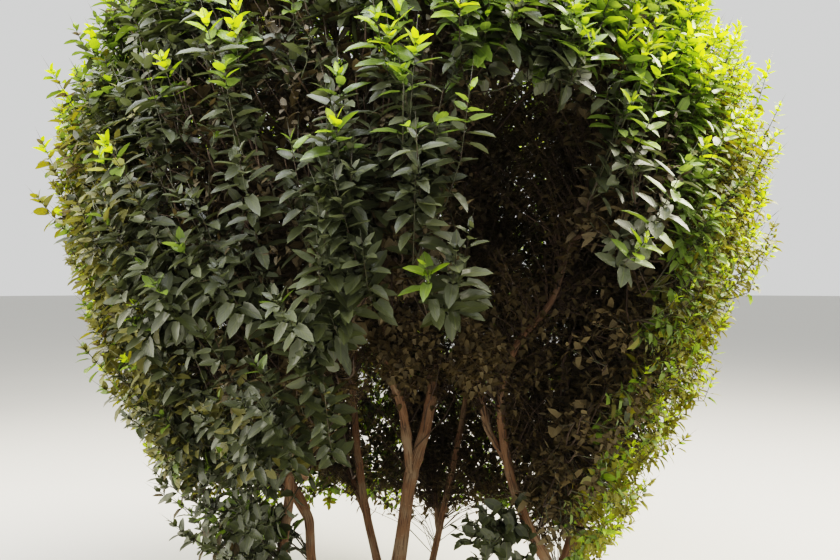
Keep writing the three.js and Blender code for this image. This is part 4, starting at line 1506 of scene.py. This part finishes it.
def rings_of(mass_index):
    """The ring of each mass index in an array."""
    return np.array([ring_of(mass) for mass in mass_centres()])[mass_index]


class PRIVET_OT_twigs(Operator):
    """Grows the branchlets, twigs and shoots of the crown from the limbs"""

    bl_idname = "privet.twigs"
    bl_label = "Twigs"

    def execute(self, context):
        colours = context.scene.privet_bark
        _, growth = grown_crown()
        # Twig bark: matt brown, paler where the skin has split
        bark = twig_material("twig_bark", tuple(colours.twig), scaled(colours.twig, 1.6), 0.8)
        # Young shoots: green skin with a slight sheen
        skin = twig_material("shoot_skin", tuple(colours.shoot), tuple(colours.twig), 0.55)
        woody = {"branchlets": 5, "twigs": 3, "bare": 3, "inner": 3}
        green = {"shoots": 3, "spurs": 3, "low": 3}
        for ring in RINGS:
            for name, kinds, material in (("twigs", woody, bark), ("shoots", green, skin)):
                parts = []
                for kind, sides in kinds.items():
                    grown = picked(growth[kind], rings_of(growth[kind]["mass"]) == ring)
                    # All but the twigs are drawn with every second point of their curves
                    step = 1 if kind == "twigs" else 2
                    parts.append(tubes(grown["curves"][:, ::step], grown["radii"][:, ::step], sides))
                foliage_piece(f"{ring}_{name}", ring, joined(parts), material)
        return {"FINISHED"}


class PRIVET_OT_leaves(Operator):
    """Sets the leaves on the shoots, the spurs, the sprays and the thin twigs, joined by ring and by tint"""

    bl_idname = "privet.leaves"
    bl_label = "Leaves"

    def execute(self, context):
        sizes = context.scene.privet_leaves
        random, growth = grown_crown()
        grown = [
            (shoot_leaves(random, growth["shoots"]), False),
            (shoot_leaves(random, growth["low"]), False),
            (spur_leaves(random, growth["spurs"]), True),
            (inner_leaves(random, growth["inner"]), True),
        ]
        # Leaves that share a pattern
        sets = []
        for leaves, is_inner in grown:
            leaves = picked(leaves, inside_reach(leaves))
            leaves = picked(leaves, clear_of_limbs(leaves))
            large = (leaves["length"] > FINE_LENGTH) & (not is_inner)
            flat = (leaves["length"] < FLAT_LENGTH) | is_inner
            sets.append((picked(leaves, large), FINE_LEAF))
            sets.append((picked(leaves, ~large & ~flat), SMALL_LEAF))
            sets.append((picked(leaves, flat), FLAT_LEAF))
        for tint, (slot, least, most, warm) in TINTS.items():
            glow, *finish = FINISHES[tint]
            material = leaf_material(f"{tint}_leaf", tuple(getattr(sizes, tint)), linear(glow), *finish)
            for ring in RINGS:
                parts, tones = [], []
                for leaves, pattern in sets:
                    own = (leaves["sun"] >= least) & (leaves["sun"] < most) & np.isin(leaves["warm"], warm)
                    own &= rings_of(nearest_mass(leaves["root"])) == ring
                    vertices, faces, uv, tone = leaf_meshes(picked(leaves, own), pattern)
                    parts.append((vertices, faces, uv))
                    tones.append(tone)
                foliage_piece(
                    f"{ring}_{tint}_leaves", ring, joined(parts), material, np.concatenate(tones),
                )
        return {"FINISHED"}


class PRIVET_PT_panel(Panel):
    """Lists the settings and the steps of the privet"""

    bl_idname = "PRIVET_PT_panel"
    bl_label = "Golden privet"
    bl_space_type = "VIEW_3D"
    bl_region_type = "UI"
    bl_category = "Privet"

    def draw(self, context):
        for step in STEPS:
            self.layout.operator(step.bl_idname)
        for group in GROUPS:
            box = self.layout.box()
            for name in GROUPS[group].__annotations__:
                box.prop(getattr(context.scene, group), name)


GROUPS = {
    "privet_crown": PrivetCrown,
    "privet_limbs": PrivetLimbs,
    "privet_shoots": PrivetShoots,
    "privet_leaves": PrivetLeaves,
    "privet_bark": PrivetBark,
    "privet_studio": PrivetStudio,
}
STEPS = (
    PRIVET_OT_stage, PRIVET_OT_stool, PRIVET_OT_stems, PRIVET_OT_boughs, PRIVET_OT_twigs, PRIVET_OT_leaves,
)


def register():
    """Makes the settings, the steps and the panel known to Blender."""
    for group in GROUPS.values():
        bpy.utils.register_class(group)
    for name, group in GROUPS.items():
        setattr(bpy.types.Scene, name, PointerProperty(type=group))
    for step in (*STEPS, PRIVET_PT_panel):
        bpy.utils.register_class(step)


def unregister():
    """Takes them away again."""
    for step in (*STEPS, PRIVET_PT_panel):
        bpy.utils.unregister_class(step)
    for name, group in GROUPS.items():
        delattr(bpy.types.Scene, name)
        bpy.utils.unregister_class(group)


def main():
    """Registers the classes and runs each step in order."""
    register()
    bpy.ops.privet.stage()
    bpy.ops.privet.stool()
    bpy.ops.privet.stems()
    bpy.ops.privet.boughs()
    bpy.ops.privet.twigs()
    bpy.ops.privet.leaves()
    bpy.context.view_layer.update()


if __name__ == "__main__":
    main()
